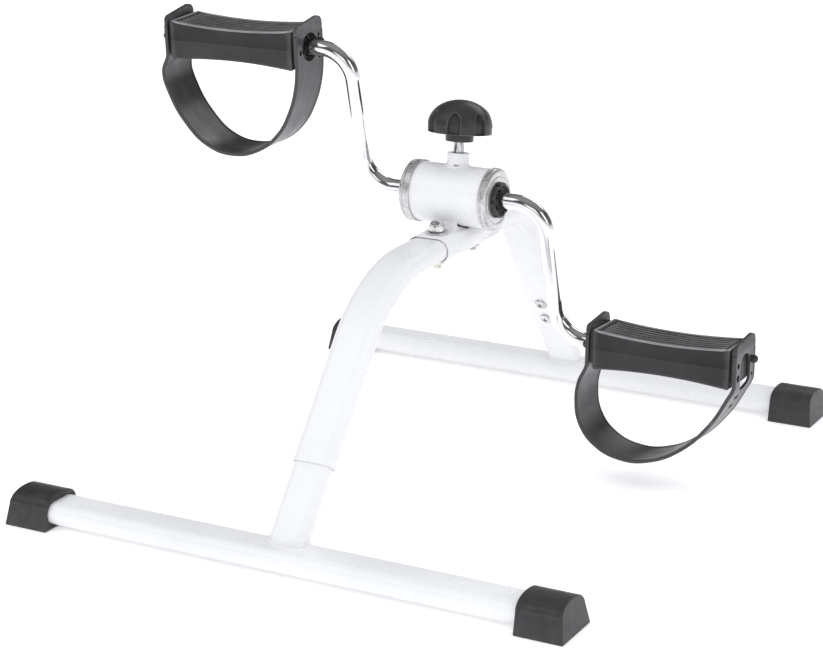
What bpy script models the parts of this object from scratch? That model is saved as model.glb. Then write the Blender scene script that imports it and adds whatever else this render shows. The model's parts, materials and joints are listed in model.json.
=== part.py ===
"""A floor-standing pedal exerciser: floor bars, legs, a friction hub, bent cranks and strapped pedals.

Metres, +Z up. +X runs along the crank axis to the right, +Y to the back, and the origin is on the floor
under the middle of the stance. Every sub-part is one object; the pieces of a moving body share an empty
on their joint's axis.
"""

import math

import bmesh
import bpy
from mathutils import Matrix, Vector

# Clearances
GAP = 0.0003            # between pieces that rest on or fit into each other
RUNNING_GAP = 0.0003    # between a turning rod and its bush

# Flat-oval tube that the stance and the legs are cut from
TUBE_WIDTH = 0.029
TUBE_DEPTH = 0.0145
TUBE_CORNER = 0.007
TUBE_WALL = 0.0011
STUB_WIDTH = 0.0262     # the lower leg slides into the upper one
STUB_DEPTH = 0.0117
STUB_CORNER = 0.0056

# Stance
BAR_Y = 0.204
BAR_Z = 0.0099
BAR_HALF_LENGTH = 0.194

# Rubber foot caps
CAP_INNER_X = 0.1675
CAP_TOP_X = 0.1985
CAP_FOOT_X = 0.2025
CAP_FOOT_HALF = 0.0195
CAP_TOP_HALF = 0.0160
CAP_INNER_TOP = 0.0212
CAP_OUTER_TOP = 0.0208
CAP_ROUND = 0.0065

# Hub
HUB_Y = 0.0244
HUB_Z = 0.1861
SHELL_RADIUS = 0.0202
SHELL_WALL = 0.0016
SHELL_HALF_LENGTH = 0.0306
CUP_RADIUS = 0.02107
CUP_RIM_X = 0.0276
CUP_FACE_X = 0.0326
CUP_ROUND = 0.0026
CUP_WALL = 0.0014
BUSH_FLANGE_RADIUS = 0.012
BUSH_FLANGE_X = 0.0360
BUSH_BODY_RADIUS = 0.0085
BUSH_BODY_LENGTH = 0.007
BUSH_RECESS_RADIUS = 0.0092
BUSH_RECESS_DEPTH = 0.0022

# Legs: each rises straight from its bar, bends once and runs level into the bracket
LEG_TOP_Z = 0.1572
FRONT_LEG_ANGLE = math.radians(50.8)
FRONT_BEND_RADIUS = 0.096
FRONT_LEG_FOOT_Y = -0.2015
FRONT_JOINT = 0.0589
REAR_LEG_ANGLE = math.radians(57.1)
REAR_BEND_RADIUS = 0.042
REAR_LEG_FOOT_Y = 0.207
REAR_JOINT = 0.0525
STUB_INSERTION = 0.050
BEND_STEPS = 8
SCREW_ABOVE_JOINT = (0.011, 0.027)

# Saddle bracket that joins the legs under the hub
BRACKET_HALF_LENGTH = 0.0384
BRACKET_WIDTH = 0.0315
BRACKET_DEPTH = 0.0167
BRACKET_CORNER = 0.0081
CRADLE_HALF_WIDTH = 0.008
CRADLE_HALF_LENGTH = 0.0135
CRADLE_TOP = 0.1712
LEG_BOLT_OFFSET = 0.0254    # to either side of the hub's middle

# Fasteners
BOLT_RADIUS = 0.003
BOLT_BOTTOM_Z = 0.1415
BOLT_HEAD_THICKNESS = 0.0036
DOME_NUT_ACROSS_FLATS = 0.010
DOME_NUT_TOP_Z = 0.1742
DOME_NUT_HEX = 0.0042
WASHER_RADIUS = 0.0078
WASHER_THICKNESS = 0.0012
SCREW_RADIUS = 0.0021
SCREW_HEAD_RADIUS = 0.0043
SCREW_HEAD_HEIGHT = 0.0024
SCREW_DEPTH = 0.0055

# Cranks
ROD_RADIUS = 0.0054
CRANK_RADIUS = 0.0958
CRANK_ANGLE = math.radians(99.3)    # the left crank's, from +Y towards +Z
HUB_CORNER_X = 0.0672
PEDAL_CORNER_X = 0.0709
HUB_CORNER_BEND = 0.022
PEDAL_CORNER_BEND = 0.022
ROD_INNER_X = 0.002
ROD_OUTER_X = 0.1905
DRUM_RADIUS = 0.012
DRUM_HALF_LENGTH = 0.016
DRUM_PIN_X = 0.010
DRUM_PIN_RADIUS = 0.0017

# Tension knob, its screw and the brake on the drum
KNOB_X = 0.0010
TENSION_LEAN = math.radians(8.5)    # the hub is welded on with its boss leaning to the back
TENSION_BORE = 0.0044
KNOB_RADIUS = 0.0220
KNOB_TOP_Z = 0.2500
KNOB_WIDEST_Z = 0.2330
KNOB_SKIRT_Z = 0.2281
KNOB_COLLAR_RADIUS = 0.0095
KNOB_COLLAR_Z = 0.2221
KNOB_RECESS_Z = 0.2320
KNOB_BORE_TOP_Z = 0.2420
KNOB_LIP_DRAFT = 0.0004
KNOB_LIP_WIDTH = 0.0020
KNOB_WALL_DRAFT = 0.0006
TENSION_SCREW_RADIUS = 0.004
BOSS_RADIUS = 0.0076
BOSS_TOP_Z = 0.2146
BRAKE_HALF_ANGLE = math.radians(50)
PAD_INNER_RADIUS = 0.01295
PAD_OUTER_RADIUS = 0.01400
SHOE_OUTER_RADIUS = 0.01560
BRAKE_HALF_WIDTH = 0.010

# Pedals, measured outwards from the middle of the hub and from the pedal's own axis
PEDAL_PITCH = math.radians(-2.5)
PEDAL_PLAY = 0.0015         # the left pedal sits this far out on its rod, the right one this far in
STRAP_THICKNESS = 0.0022
STRAP_HALF_WIDTH = 0.017
STRAP_INNER_X = 0.1009      # middle of the band's thickness
STRAP_OUTER_X = 0.2054
STRAP_TOP = 0.0102
CHEEK_PLATE = 0.0016
CHEEK_THICKNESS = CHEEK_PLATE + GAP + STRAP_THICKNESS
CHEEK_HALF_WIDTH = 0.0165
CHEEK_TOP = 0.0190
CHEEK_BOTTOM = -0.0100
CHEEK_CORNER = 0.006
TREAD_HALF_WIDTH = 0.017
TREAD_END_HEIGHT = 0.0130
TREAD_WAIST_HEIGHT = 0.0102
AXLE_BORE_RADIUS = 0.0076
AXLE_BUSH_LENGTH = 0.008
RETAINER_THICKNESS = 0.0012
STUD_OFFSET = 0.0120
STUD_HEAD_RADIUS = 0.004
STUD_POST_RADIUS = 0.0022
STUD_HEAD_HEIGHT = 0.0037
STRAP_AXLE_HOLE = 0.0085

# Middle line of each strap below its pedal, as (distance from the hub's middle, height from the pedal's axis)
RIGHT_STRAP_LOOP = (
    (0.0955, -0.0240),
    (0.0939, -0.0370),
    (0.0975, -0.0535),
    (0.1085, -0.0660),
    (0.1270, -0.0726),
    (0.1480, -0.0706),
    (0.1705, -0.0590),
    (0.1895, -0.0395),
    (0.2010, -0.0205),
)
LEFT_STRAP_LOOP = (
    (0.1030, -0.0270),
    (0.1085, -0.0430),
    (0.1185, -0.0590),
    (0.1350, -0.0715),
    (0.1560, -0.0768),
    (0.1770, -0.0722),
    (0.1945, -0.0570),
    (0.2055, -0.0390),
    (0.2098, -0.0230),
)

ROUND_STEPS = 32
FINE_STEPS = 20
SMALL_STEPS = 16
PIN_STEPS = 12
TREAD_STEPS = 12
STRAP_STEPS = 3

ALONG_X = Matrix(((0, 0, 1), (1, 0, 0), (0, 1, 0))).to_4x4()     # local z to world X, local x to world Y
SIDEWAYS = Matrix(((1, 0, 0), (0, 0, -1), (0, 1, 0))).to_4x4()   # local y to world Z, local z to the front
SIDES = (("left", -1), ("right", 1))


def clear_scene():
    for obj in list(bpy.data.objects):
        bpy.data.objects.remove(obj)


def new_collection(name):
    collection = bpy.data.collections.new(name)
    bpy.context.scene.collection.children.link(collection)
    return collection


def material(name, colour, roughness, metallic=0.0):
    made = bpy.data.materials.new(name)
    made.use_nodes = True
    shader = made.node_tree.nodes["Principled BSDF"]
    shader.inputs["Base Color"].default_value = (*colour, 1.0)
    shader.inputs["Roughness"].default_value = roughness
    shader.inputs["Metallic"].default_value = metallic
    return made


clear_scene()
PARTS = new_collection("pedal_exerciser")
CUTTERS = new_collection("cutters")

WHITE_PAINT = material("white_paint", (0.86, 0.87, 0.89), 0.28)
BLACK_RUBBER = material("black_rubber", (0.035, 0.035, 0.037), 0.6)
BLACK_PLASTIC = material("black_plastic", (0.03, 0.03, 0.032), 0.42)
STRAP_PLASTIC = material("strap_plastic", (0.045, 0.045, 0.048), 0.4)
CHROME = material("chrome", (0.78, 0.78, 0.79), 0.08, 1.0)
ZINC = material("zinc", (0.62, 0.62, 0.63), 0.3, 1.0)
STEEL = material("steel", (0.5, 0.5, 0.51), 0.35, 1.0)
FELT = material("brake_felt", (0.35, 0.31, 0.26), 0.95)
NYLON = material("nylon", (0.75, 0.74, 0.7), 0.45)


def place(obj, name, collection, mat=None, matrix=None):
    """Names and links an object, and puts it at a matrix."""
    obj.name = name
    collection.objects.link(obj)
    if mat:
        obj.data.materials.append(mat)
    if matrix:
        obj.matrix_world = matrix
    if collection is CUTTERS:
        obj.hide_render = True
        obj.display_type = "WIRE"
    return obj


def smooth(obj, angle=math.radians(35)):
    obj.data.shade_smooth()
    obj.data.set_sharp_from_angle(angle=angle)
    return obj


def solid_of(obj, name, collection, mat=None):
    """Turns an object into a plain mesh object of its evaluated shape, with loose caps welded."""
    bpy.context.view_layer.update()
    graph = bpy.context.evaluated_depsgraph_get()
    mesh = bpy.data.meshes.new_from_object(obj.evaluated_get(graph))
    shape = bmesh.new()
    shape.from_mesh(mesh)
    bmesh.ops.remove_doubles(shape, verts=shape.verts, dist=1e-6)
    bmesh.ops.recalc_face_normals(shape, faces=shape.faces)
    shape.to_mesh(mesh)
    shape.free()
    mesh.materials.clear()
    matrix = obj.matrix_world.copy()
    bpy.data.objects.remove(obj)
    return place(bpy.data.objects.new(name, mesh), name, collection, mat, matrix)


def boolean(obj, cutter, operation="DIFFERENCE"):
    modifier = obj.modifiers.new(cutter.name, "BOOLEAN")
    modifier.operation = operation
    modifier.object = cutter
    modifier.solver = "EXACT"
    return obj


def turned(name, profile, matrix, mat, steps=ROUND_STEPS, collection=PARTS):
    """A profile turned about its own Z: it runs down the outer side, and closes if it starts off axis."""
    on_axis = profile[0][0] == 0
    mesh = bpy.data.meshes.new(name)
    edges = [(i, i + 1) for i in range(len(profile) - 1)]
    if not on_axis:
        edges.append((len(profile) - 1, 0))
    mesh.from_pydata([(r, 0, z) for r, z in profile], edges, [])
    obj = place(bpy.data.objects.new(name, mesh), name, collection, mat, matrix)
    screw = obj.modifiers.new("turn", "SCREW")
    screw.steps = steps
    screw.render_steps = steps
    screw.use_merge_vertices = True
    screw.merge_threshold = 0.00001
    screw.use_smooth_shade = True
    return obj


def rod(name, radius, low, high, matrix, mat=None, collection=PARTS, steps=FINE_STEPS):
    """A plain round bar along its own Z from low to high."""
    return turned(name, ((0, high), (radius, high), (radius, low), (0, low)), matrix, mat, steps, collection)


def box(name, low, high, matrix, mat=None, collection=PARTS):
    low = Vector(low)
    high = Vector(high)
    mesh = bpy.data.meshes.new(name)
    shape = bmesh.new()
    bmesh.ops.create_cube(shape, size=1.0)
    bmesh.ops.scale(shape, vec=high - low, verts=shape.verts)
    bmesh.ops.translate(shape, vec=(low + high) / 2, verts=shape.verts)
    shape.to_mesh(mesh)
    shape.free()
    return place(bpy.data.objects.new(name, mesh), name, collection, mat, matrix)


def arc(centre, radius, start, end, steps):
    """Points along an arc, both ends included."""
    turns = [start + (end - start) * i / steps for i in range(steps + 1)]
    return [(centre[0] + radius * math.cos(a), centre[1] + radius * math.sin(a)) for a in turns]


def rounded(width, depth, corner, steps=5):
    """A rectangle about the origin with round corners, counter-clockwise."""
    x = width / 2 - corner
    y = depth / 2 - corner
    points = []
    for turn, centre in enumerate(((x, y), (-x, y), (-x, -y), (x, -y))):
        points += arc(centre, corner, turn * math.pi / 2, (turn + 1) * math.pi / 2, steps)
    return points


def outline_curve(name, loops, half_thickness):
    """A filled flat outline, extruded to both sides of its plane."""
    curve = bpy.data.curves.new(name, "CURVE")
    curve.dimensions = "2D"
    curve.fill_mode = "BOTH"
    curve.extrude = half_thickness
    for loop in loops:
        spline = curve.splines.new("POLY")
        spline.points.add(len(loop) - 1)
        for point, (x, y) in zip(spline.points, loop):
            point.co = (x, y, 0, 1)
        spline.use_cyclic_u = True
    return bpy.data.objects.new(name, curve)


def plate(name, loops, half_thickness, matrix, mat=None, collection=PARTS):
    """A flat outline with thickness, as a mesh. Later loops are holes."""
    drawn = place(outline_curve(name, loops, half_thickness), name, collection, None, matrix)
    return solid_of(drawn, name, collection, mat)


def flat_oval(name, width, depth, corner, wall, half_length, matrix, mat=None, collection=PARTS):
    """A straight flat-oval tube along its own Z; with no wall it is solid."""
    loops = [rounded(width, depth, corner)]
    if wall:
        loops.append(rounded(width - 2 * wall, depth - 2 * wall, corner - wall))
    return plate(name, loops, half_length, matrix, mat, collection)


def poly_curve(name, points):
    curve = bpy.data.curves.new(name, "CURVE")
    curve.dimensions = "3D"
    spline = curve.splines.new("POLY")
    spline.points.add(len(points) - 1)
    for point, where in zip(spline.points, points):
        point.co = (*where, 1)
    return curve


def bent(points, radii, steps):
    """A path through corner points, each inner corner rounded to its radius."""
    path = [Vector(points[0])]
    for i, radius in enumerate(radii, 1):
        corner = Vector(points[i])
        back = (Vector(points[i - 1]) - corner).normalized()
        ahead = (Vector(points[i + 1]) - corner).normalized()
        half = back.angle(ahead) / 2
        centre = corner + (back + ahead).normalized() * radius / math.sin(half)
        start = corner + back * radius / math.tan(half) - centre
        end = corner + ahead * radius / math.tan(half) - centre
        sweep = start.angle(end)
        for k in range(steps + 1):
            share = k / steps
            spread = math.sin((1 - share) * sweep) * start + math.sin(share * sweep) * end
            path.append(centre + spread / math.sin(sweep))
    path.append(Vector(points[-1]))
    return path


def facing(side):
    """Turns what points to +X towards either side of the object."""
    return Matrix.Identity(4) if side > 0 else Matrix.Rotation(math.pi, 4, "Z")


def frame_at(origin, x_axis, y_axis, z_axis):
    matrix = Matrix((x_axis, y_axis, z_axis)).transposed().to_4x4()
    matrix.translation = origin
    return matrix


# ---------------------------------------------------------------- stance

def floor_bar(name, y):
    matrix = Matrix.Translation((0, y, BAR_Z)) @ ALONG_X
    flat_oval(name, TUBE_WIDTH, TUBE_DEPTH, TUBE_CORNER, TUBE_WALL, BAR_HALF_LENGTH, matrix, WHITE_PAINT)


def foot_cap(name, side, y):
    """A rubber cap: a tapered block, rounded on top and at its outer end, with a pocket for the bar."""
    mesh = bpy.data.meshes.new(name)
    shape = bmesh.new()
    bmesh.ops.create_cube(shape, size=1.0)
    for corner in shape.verts:
        outer = corner.co.x > 0
        top = corner.co.z > 0
        half = CAP_TOP_HALF if top else CAP_FOOT_HALF
        height = (CAP_OUTER_TOP if outer else CAP_INNER_TOP) if top else 0
        reach = CAP_TOP_X if top else CAP_FOOT_X
        corner.co = (reach if outer else CAP_INNER_X, math.copysign(half, corner.co.y), height)
    rounded_edges = [e for e in shape.edges if min(v.co.z for v in e.verts) > 0 and not is_inner(e)]
    bmesh.ops.bevel(shape, geom=rounded_edges, offset=CAP_ROUND, segments=4, profile=0.5, affect="EDGES")
    shape.to_mesh(mesh)
    shape.free()
    where = Matrix.Translation((0, y, 0)) @ facing(side)
    cap = place(bpy.data.objects.new(name, mesh), name, PARTS, BLACK_RUBBER, where)
    pocket_end = BAR_HALF_LENGTH + GAP
    pocket_half = (pocket_end - CAP_INNER_X) / 2 + GAP
    middle = Matrix.Translation((side * (pocket_end - pocket_half), y, BAR_Z)) @ ALONG_X
    grow = 2 * GAP
    pocket = flat_oval(name + "_pocket", TUBE_WIDTH + grow, TUBE_DEPTH + grow, TUBE_CORNER + GAP, 0,
                       pocket_half, middle, None, CUTTERS)
    smooth(boolean(cap, pocket))


def is_inner(edge):
    """Whether an edge lies at the cap's open end."""
    return all(abs(v.co.x - CAP_INNER_X) < GAP for v in edge.verts)


# ---------------------------------------------------------------- legs

def leg_geometry(foot_y, angle, towards):
    """The foot of a leg's middle line, its direction and its upper side's; towards is +1 for the front leg."""
    foot = Vector((0, foot_y, BAR_Z))
    along = Vector((0, towards * math.cos(angle), math.sin(angle)))
    above = Vector((0, -towards * math.sin(angle), math.cos(angle)))
    return foot, along, above


def leg_stub(name, foot, along, above, length, bar_y):
    """The lower leg, coped over its floor bar and pushed into the upper tube."""
    across = above.cross(along)
    matrix = frame_at(foot + along * length / 2, across, above, along)
    stub = flat_oval(name, STUB_WIDTH, STUB_DEPTH, STUB_CORNER, TUBE_WALL, length / 2, matrix, WHITE_PAINT)
    grow = 2 * GAP
    bar = flat_oval(name + "_cope", TUBE_WIDTH + grow, TUBE_DEPTH + grow, TUBE_CORNER + GAP, 0, STUB_WIDTH,
                    Matrix.Translation((0, bar_y, BAR_Z)) @ ALONG_X, None, CUTTERS)
    return smooth(boolean(stub, bar))


def leg_tube(name, foot, along, joint, end_y, bend_radius):
    """The upper leg: straight from the joint, one bend, then level to its end in the bracket."""
    corner = foot + along * ((LEG_TOP_Z - BAR_Z) / along.z)
    path = bent((foot + along * joint, corner, (0, end_y, LEG_TOP_Z)), (bend_radius,), BEND_STEPS)
    section = outline_curve(name + "_section", [rounded(TUBE_WIDTH, TUBE_DEPTH, TUBE_CORNER)], 0)
    section.data.fill_mode = "NONE"
    place(section, name + "_section", CUTTERS)
    curve = poly_curve(name, path)
    curve.bevel_mode = "OBJECT"
    curve.bevel_object = section
    curve.twist_mode = "Z_UP"
    swept = place(bpy.data.objects.new(name, curve), name, PARTS)
    tube = solid_of(swept, name, PARTS, WHITE_PAINT)
    wall = tube.modifiers.new("wall", "SOLIDIFY")
    wall.thickness = TUBE_WALL
    wall.offset = -1
    bpy.data.objects.remove(section)
    return smooth(tube)


def leg_screw(name, foot, along, above, distance):
    """A pan-head screw through the underside of the upper tube into the stub."""
    below = -above
    across = along.cross(below)
    face = foot + along * distance + below * (TUBE_DEPTH / 2 + GAP)
    profile = arc((0, 0), SCREW_HEAD_HEIGHT, math.pi / 2, 0, 4)
    stretch = SCREW_HEAD_RADIUS / SCREW_HEAD_HEIGHT
    head = [(x * stretch, z) for x, z in profile]
    head[0] = (0, SCREW_HEAD_HEIGHT)
    matrix = frame_at(face, along, across, below)
    shank = [(SCREW_RADIUS, 0), (SCREW_RADIUS, -SCREW_DEPTH), (0, -SCREW_DEPTH)]
    turned(name, head + shank, matrix, ZINC, SMALL_STEPS)
    return rod(name + "_hole", SCREW_RADIUS + GAP, -SCREW_DEPTH - GAP, SCREW_HEAD_HEIGHT, matrix, None, CUTTERS,
               SMALL_STEPS)


def leg(end, foot_y, angle, towards, bend_radius, joint, bar_y):
    foot, along, above = leg_geometry(foot_y, angle, towards)
    stub = leg_stub(end + "_leg_stub", foot, along, above, joint + STUB_INSERTION, bar_y)
    end_y = HUB_Y - towards * (GAP + BOLT_RADIUS) / 2
    tube = leg_tube(end + "_leg_tube", foot, along, joint, end_y, bend_radius)
    for place_in_row, above_joint in zip(("lower", "upper"), SCREW_ABOVE_JOINT):
        hole = leg_screw(end + "_leg_screw_" + place_in_row, foot, along, above, joint + above_joint)
        boolean(stub, hole)
        boolean(tube, hole)
    boolean(tube, bolt_hole(end + "_tube_bolt_hole", -towards))


# ---------------------------------------------------------------- bracket and its bolts

def bolt_hole(name, end):
    matrix = Matrix.Translation((0, HUB_Y + end * LEG_BOLT_OFFSET, 0))
    return rod(name, BOLT_RADIUS + GAP, LEG_TOP_Z - BRACKET_DEPTH, LEG_TOP_Z + BRACKET_DEPTH, matrix, None,
               CUTTERS, SMALL_STEPS)


def saddle_bracket():
    """A flat-oval sleeve over both legs, with a cradle on top that the hub is welded into."""
    wall = (BRACKET_WIDTH - TUBE_WIDTH) / 2 - GAP
    matrix = Matrix.Translation((0, HUB_Y, LEG_TOP_Z)) @ SIDEWAYS
    bracket = flat_oval("saddle_bracket", BRACKET_WIDTH, BRACKET_DEPTH, BRACKET_CORNER, 0,
                        BRACKET_HALF_LENGTH, matrix, WHITE_PAINT)
    low = (-CRADLE_HALF_WIDTH, HUB_Y - CRADLE_HALF_LENGTH, LEG_TOP_Z)
    high = (CRADLE_HALF_WIDTH, HUB_Y + CRADLE_HALF_LENGTH, CRADLE_TOP)
    boolean(bracket, box("cradle", low, high, Matrix.Identity(4), None, CUTTERS), "UNION")
    hollow = flat_oval("bracket_hollow", TUBE_WIDTH + 2 * GAP, BRACKET_DEPTH - 2 * wall, TUBE_CORNER + GAP, 0,
                       BRACKET_HALF_LENGTH + BRACKET_WIDTH, matrix, None, CUTTERS)
    boolean(bracket, hollow)
    seat = rod("hub_seat", SHELL_RADIUS + GAP, -SHELL_HALF_LENGTH, SHELL_HALF_LENGTH,
               Matrix.Translation((0, HUB_Y, HUB_Z)) @ ALONG_X, None, CUTTERS, ROUND_STEPS)
    boolean(bracket, seat)
    for name, end in (("front", -1), ("rear", 1)):
        boolean(bracket, bolt_hole("bracket_bolt_hole_" + name, end))
    smooth(bracket)


def hexagon(across_flats):
    corner = across_flats / math.sqrt(3)
    return [(corner * math.cos(i * math.pi / 3), corner * math.sin(i * math.pi / 3)) for i in range(6)]


def leg_bolt(name, end):
    """A bolt with its own hexagonal head below the bracket, a washer and a dome nut above."""
    y = HUB_Y + end * LEG_BOLT_OFFSET
    axis = Matrix.Translation((0, y, 0))
    bracket_bottom = LEG_TOP_Z - BRACKET_DEPTH / 2
    bracket_top = LEG_TOP_Z + BRACKET_DEPTH / 2
    washer_base = bracket_top + GAP
    washer_top = washer_base + WASHER_THICKNESS
    hole = BOLT_RADIUS + GAP
    turned(name + "_washer", ((hole, washer_top), (WASHER_RADIUS, washer_top), (WASHER_RADIUS, washer_base),
                              (hole, washer_base)), axis, ZINC, FINE_STEPS)
    nut_base = washer_top + GAP
    dome_base = nut_base + DOME_NUT_HEX
    dome_radius = DOME_NUT_ACROSS_FLATS / 2 - GAP
    dome_height = DOME_NUT_TOP_Z - dome_base
    middle = nut_base + DOME_NUT_HEX / 2
    nut = plate(name + "_dome_nut", [hexagon(DOME_NUT_ACROSS_FLATS)], DOME_NUT_HEX / 2,
                Matrix.Translation((0, y, middle)), ZINC)
    crown = arc((0, dome_base), 1, math.pi / 2, 0, 4)
    profile = [(r * dome_radius, dome_base + (z - dome_base) * dome_height) for r, z in crown]
    profile[0] = (0, DOME_NUT_TOP_Z)
    profile += [(dome_radius, middle), (0, middle)]
    dome = turned(name + "_dome", profile, axis, None, FINE_STEPS, CUTTERS)
    boolean(nut, dome, "UNION")
    thread_top = dome_base + dome_height / 2
    bore = rod(name + "_nut_bore", hole, washer_base, thread_top + GAP, axis, None, CUTTERS, SMALL_STEPS)
    smooth(boolean(nut, bore))
    head_top = bracket_bottom - GAP
    head = plate(name, [hexagon(DOME_NUT_ACROSS_FLATS)], BOLT_HEAD_THICKNESS / 2,
                 Matrix.Translation((0, y, head_top - BOLT_HEAD_THICKNESS / 2)), ZINC)
    shank = rod(name + "_shank", BOLT_RADIUS, BOLT_BOTTOM_Z, thread_top, axis, None, CUTTERS, SMALL_STEPS)
    smooth(boolean(head, shank, "UNION"))


# ---------------------------------------------------------------- hub

def hub_axis():
    return Matrix.Translation((0, HUB_Y, HUB_Z)) @ ALONG_X


def tension_axis():
    """The axis of the boss and the screw, turned to the back about the hub's own axis."""
    lean = Matrix.Rotation(-TENSION_LEAN, 4, "X")
    return Matrix.Translation((0, HUB_Y, HUB_Z)) @ lean @ Matrix.Translation((KNOB_X, 0, -HUB_Z))


def hub_shell():
    inner = SHELL_RADIUS - SHELL_WALL
    end = SHELL_HALF_LENGTH
    shell = turned("hub_shell", ((inner, end), (SHELL_RADIUS, end), (SHELL_RADIUS, -end), (inner, -end)),
                   hub_axis(), WHITE_PAINT)
    hole = rod("shell_screw_hole", TENSION_BORE + GAP, HUB_Z, KNOB_TOP_Z, tension_axis(), None, CUTTERS)
    return boolean(shell, hole)


def out_of_hub(side):
    """The hub's axis, pointing out of the hub on one side."""
    return Matrix.Translation((0, HUB_Y, HUB_Z)) @ facing(side) @ ALONG_X


def hub_cap(name, side):
    """A pressed cup over the end of the shell, with a round shoulder and a hole for the bush."""
    hole = BUSH_BODY_RADIUS + GAP
    inner = SHELL_RADIUS + GAP
    floor = CUP_FACE_X - CUP_WALL
    shoulder = arc((CUP_RADIUS - CUP_ROUND, CUP_FACE_X - CUP_ROUND), CUP_ROUND, math.pi / 2, 0, 4)
    inside = [(inner, CUP_RIM_X), (inner, floor), (hole, floor)]
    profile = [(hole, CUP_FACE_X), *shoulder, (CUP_RADIUS, CUP_RIM_X), *inside]
    turned(name, profile, out_of_hub(side), CHROME)


def hub_bush(name, side):
    """A flanged bush that the crank turns in, dished on its outer face."""
    bore = ROD_RADIUS + RUNNING_GAP
    seat = CUP_FACE_X + GAP
    dish = BUSH_FLANGE_X - BUSH_RECESS_DEPTH
    tail = seat - BUSH_BODY_LENGTH
    profile = (
        (bore, dish), (BUSH_RECESS_RADIUS, dish), (BUSH_RECESS_RADIUS, BUSH_FLANGE_X),
        (BUSH_FLANGE_RADIUS, BUSH_FLANGE_X), (BUSH_FLANGE_RADIUS, seat), (BUSH_BODY_RADIUS, seat),
        (BUSH_BODY_RADIUS, tail), (bore, tail),
    )
    turned(name, profile, out_of_hub(side), BLACK_PLASTIC, FINE_STEPS)


def tension_boss():
    """The threaded boss on top of the shell, coped to it."""
    base = HUB_Z + SHELL_RADIUS - BOSS_RADIUS / 2
    top = BOSS_TOP_Z
    outside = ((TENSION_BORE, top), (BOSS_RADIUS, top), (BOSS_RADIUS, base), (TENSION_BORE, base))
    boss = turned("tension_boss", outside, tension_axis(), WHITE_PAINT, FINE_STEPS)
    cope = rod("boss_cope", SHELL_RADIUS + GAP, -SHELL_HALF_LENGTH, SHELL_HALF_LENGTH, hub_axis(), None,
               CUTTERS, ROUND_STEPS)
    boolean(boss, cope)


# ---------------------------------------------------------------- moving bodies

def pivot(name, where):
    """An empty on a joint's axis, that the pieces of a moving body hang from."""
    empty = bpy.data.objects.new(name, None)
    PARTS.objects.link(empty)
    empty.location = where
    bpy.context.view_layer.update()
    return empty


def hang(obj, parent):
    """Parents an object and leaves it where it is."""
    bpy.context.view_layer.update()
    matrix = obj.matrix_world.copy()
    obj.parent = parent
    obj.matrix_parent_inverse = parent.matrix_world.inverted()
    obj.matrix_world = matrix


def pedal_axis(side):
    """Height and depth of a pedal's axis: the left one is up, the right one opposite."""
    reach = -side * CRANK_RADIUS
    return Vector((0, HUB_Y + reach * math.cos(CRANK_ANGLE), HUB_Z + reach * math.sin(CRANK_ANGLE)))


def crank(name, side, pivot_empty):
    """A bent rod: from the drum out of the hub, along the crank and out through the pedal."""
    at_hub = Vector((0, HUB_Y, HUB_Z))
    at_pedal = pedal_axis(side)
    along_x = Vector((side, 0, 0))
    corners = (at_hub + along_x * ROD_INNER_X, at_hub + along_x * HUB_CORNER_X,
               at_pedal + along_x * PEDAL_CORNER_X, at_pedal + along_x * ROD_OUTER_X)
    curve = poly_curve(name, bent(corners, (HUB_CORNER_BEND, PEDAL_CORNER_BEND), BEND_STEPS))
    curve.bevel_depth = ROD_RADIUS
    curve.bevel_resolution = 4
    curve.use_fill_caps = True
    bar = solid_of(place(bpy.data.objects.new(name, curve), name, PARTS), name, PARTS, CHROME)
    hole = rod(name + "_pin_hole", DRUM_PIN_RADIUS + GAP, -DRUM_RADIUS - ROD_RADIUS, DRUM_RADIUS + ROD_RADIUS,
               Matrix.Translation((side * DRUM_PIN_X, HUB_Y, HUB_Z)), None, CUTTERS, PIN_STEPS)
    hang(smooth(boolean(bar, hole)), pivot_empty)
    return hole


def crank_set():
    """The friction drum, the two cranks pinned into it, and the pins."""
    centre = pivot("crank_pivot", (0, HUB_Y, HUB_Z))
    bore = ROD_RADIUS + GAP
    end = DRUM_HALF_LENGTH
    drum = turned("friction_drum", ((bore, end), (DRUM_RADIUS, end), (DRUM_RADIUS, -end), (bore, -end)),
                  hub_axis(), STEEL, ROUND_STEPS)
    for side_name, side in SIDES:
        boolean(drum, crank("crank_" + side_name, side, centre))
        reach = DRUM_RADIUS - GAP
        pin = rod("crank_pin_" + side_name, DRUM_PIN_RADIUS, -reach, reach,
                  Matrix.Translation((side * DRUM_PIN_X, HUB_Y, HUB_Z)), STEEL, PARTS, PIN_STEPS)
        hang(pin, centre)
    hang(drum, centre)
    return centre


def sector(inner, outer):
    """A ring sector about the hub's axis, centred on straight up."""
    start = math.pi / 2 - BRAKE_HALF_ANGLE
    end = math.pi / 2 + BRAKE_HALF_ANGLE
    return arc((0, 0), outer, start, end, 10) + arc((0, 0), inner, end, start, 10)


def brake():
    """The steel shoe and its felt pad, pressed onto the drum by the tension screw."""
    matrix = tension_axis() @ Matrix.Translation((0, 0, HUB_Z)) @ ALONG_X
    slide = pivot("brake_pivot", matrix.translation)
    steel = sector(PAD_OUTER_RADIUS + GAP, SHOE_OUTER_RADIUS)
    felt = sector(PAD_INNER_RADIUS, PAD_OUTER_RADIUS)
    shoe = plate("brake_shoe", [steel], BRAKE_HALF_WIDTH, matrix, STEEL)
    pad = plate("brake_pad", [felt], BRAKE_HALF_WIDTH, matrix, FELT)
    for piece in (shoe, pad):
        hang(smooth(piece), slide)
    return slide


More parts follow.
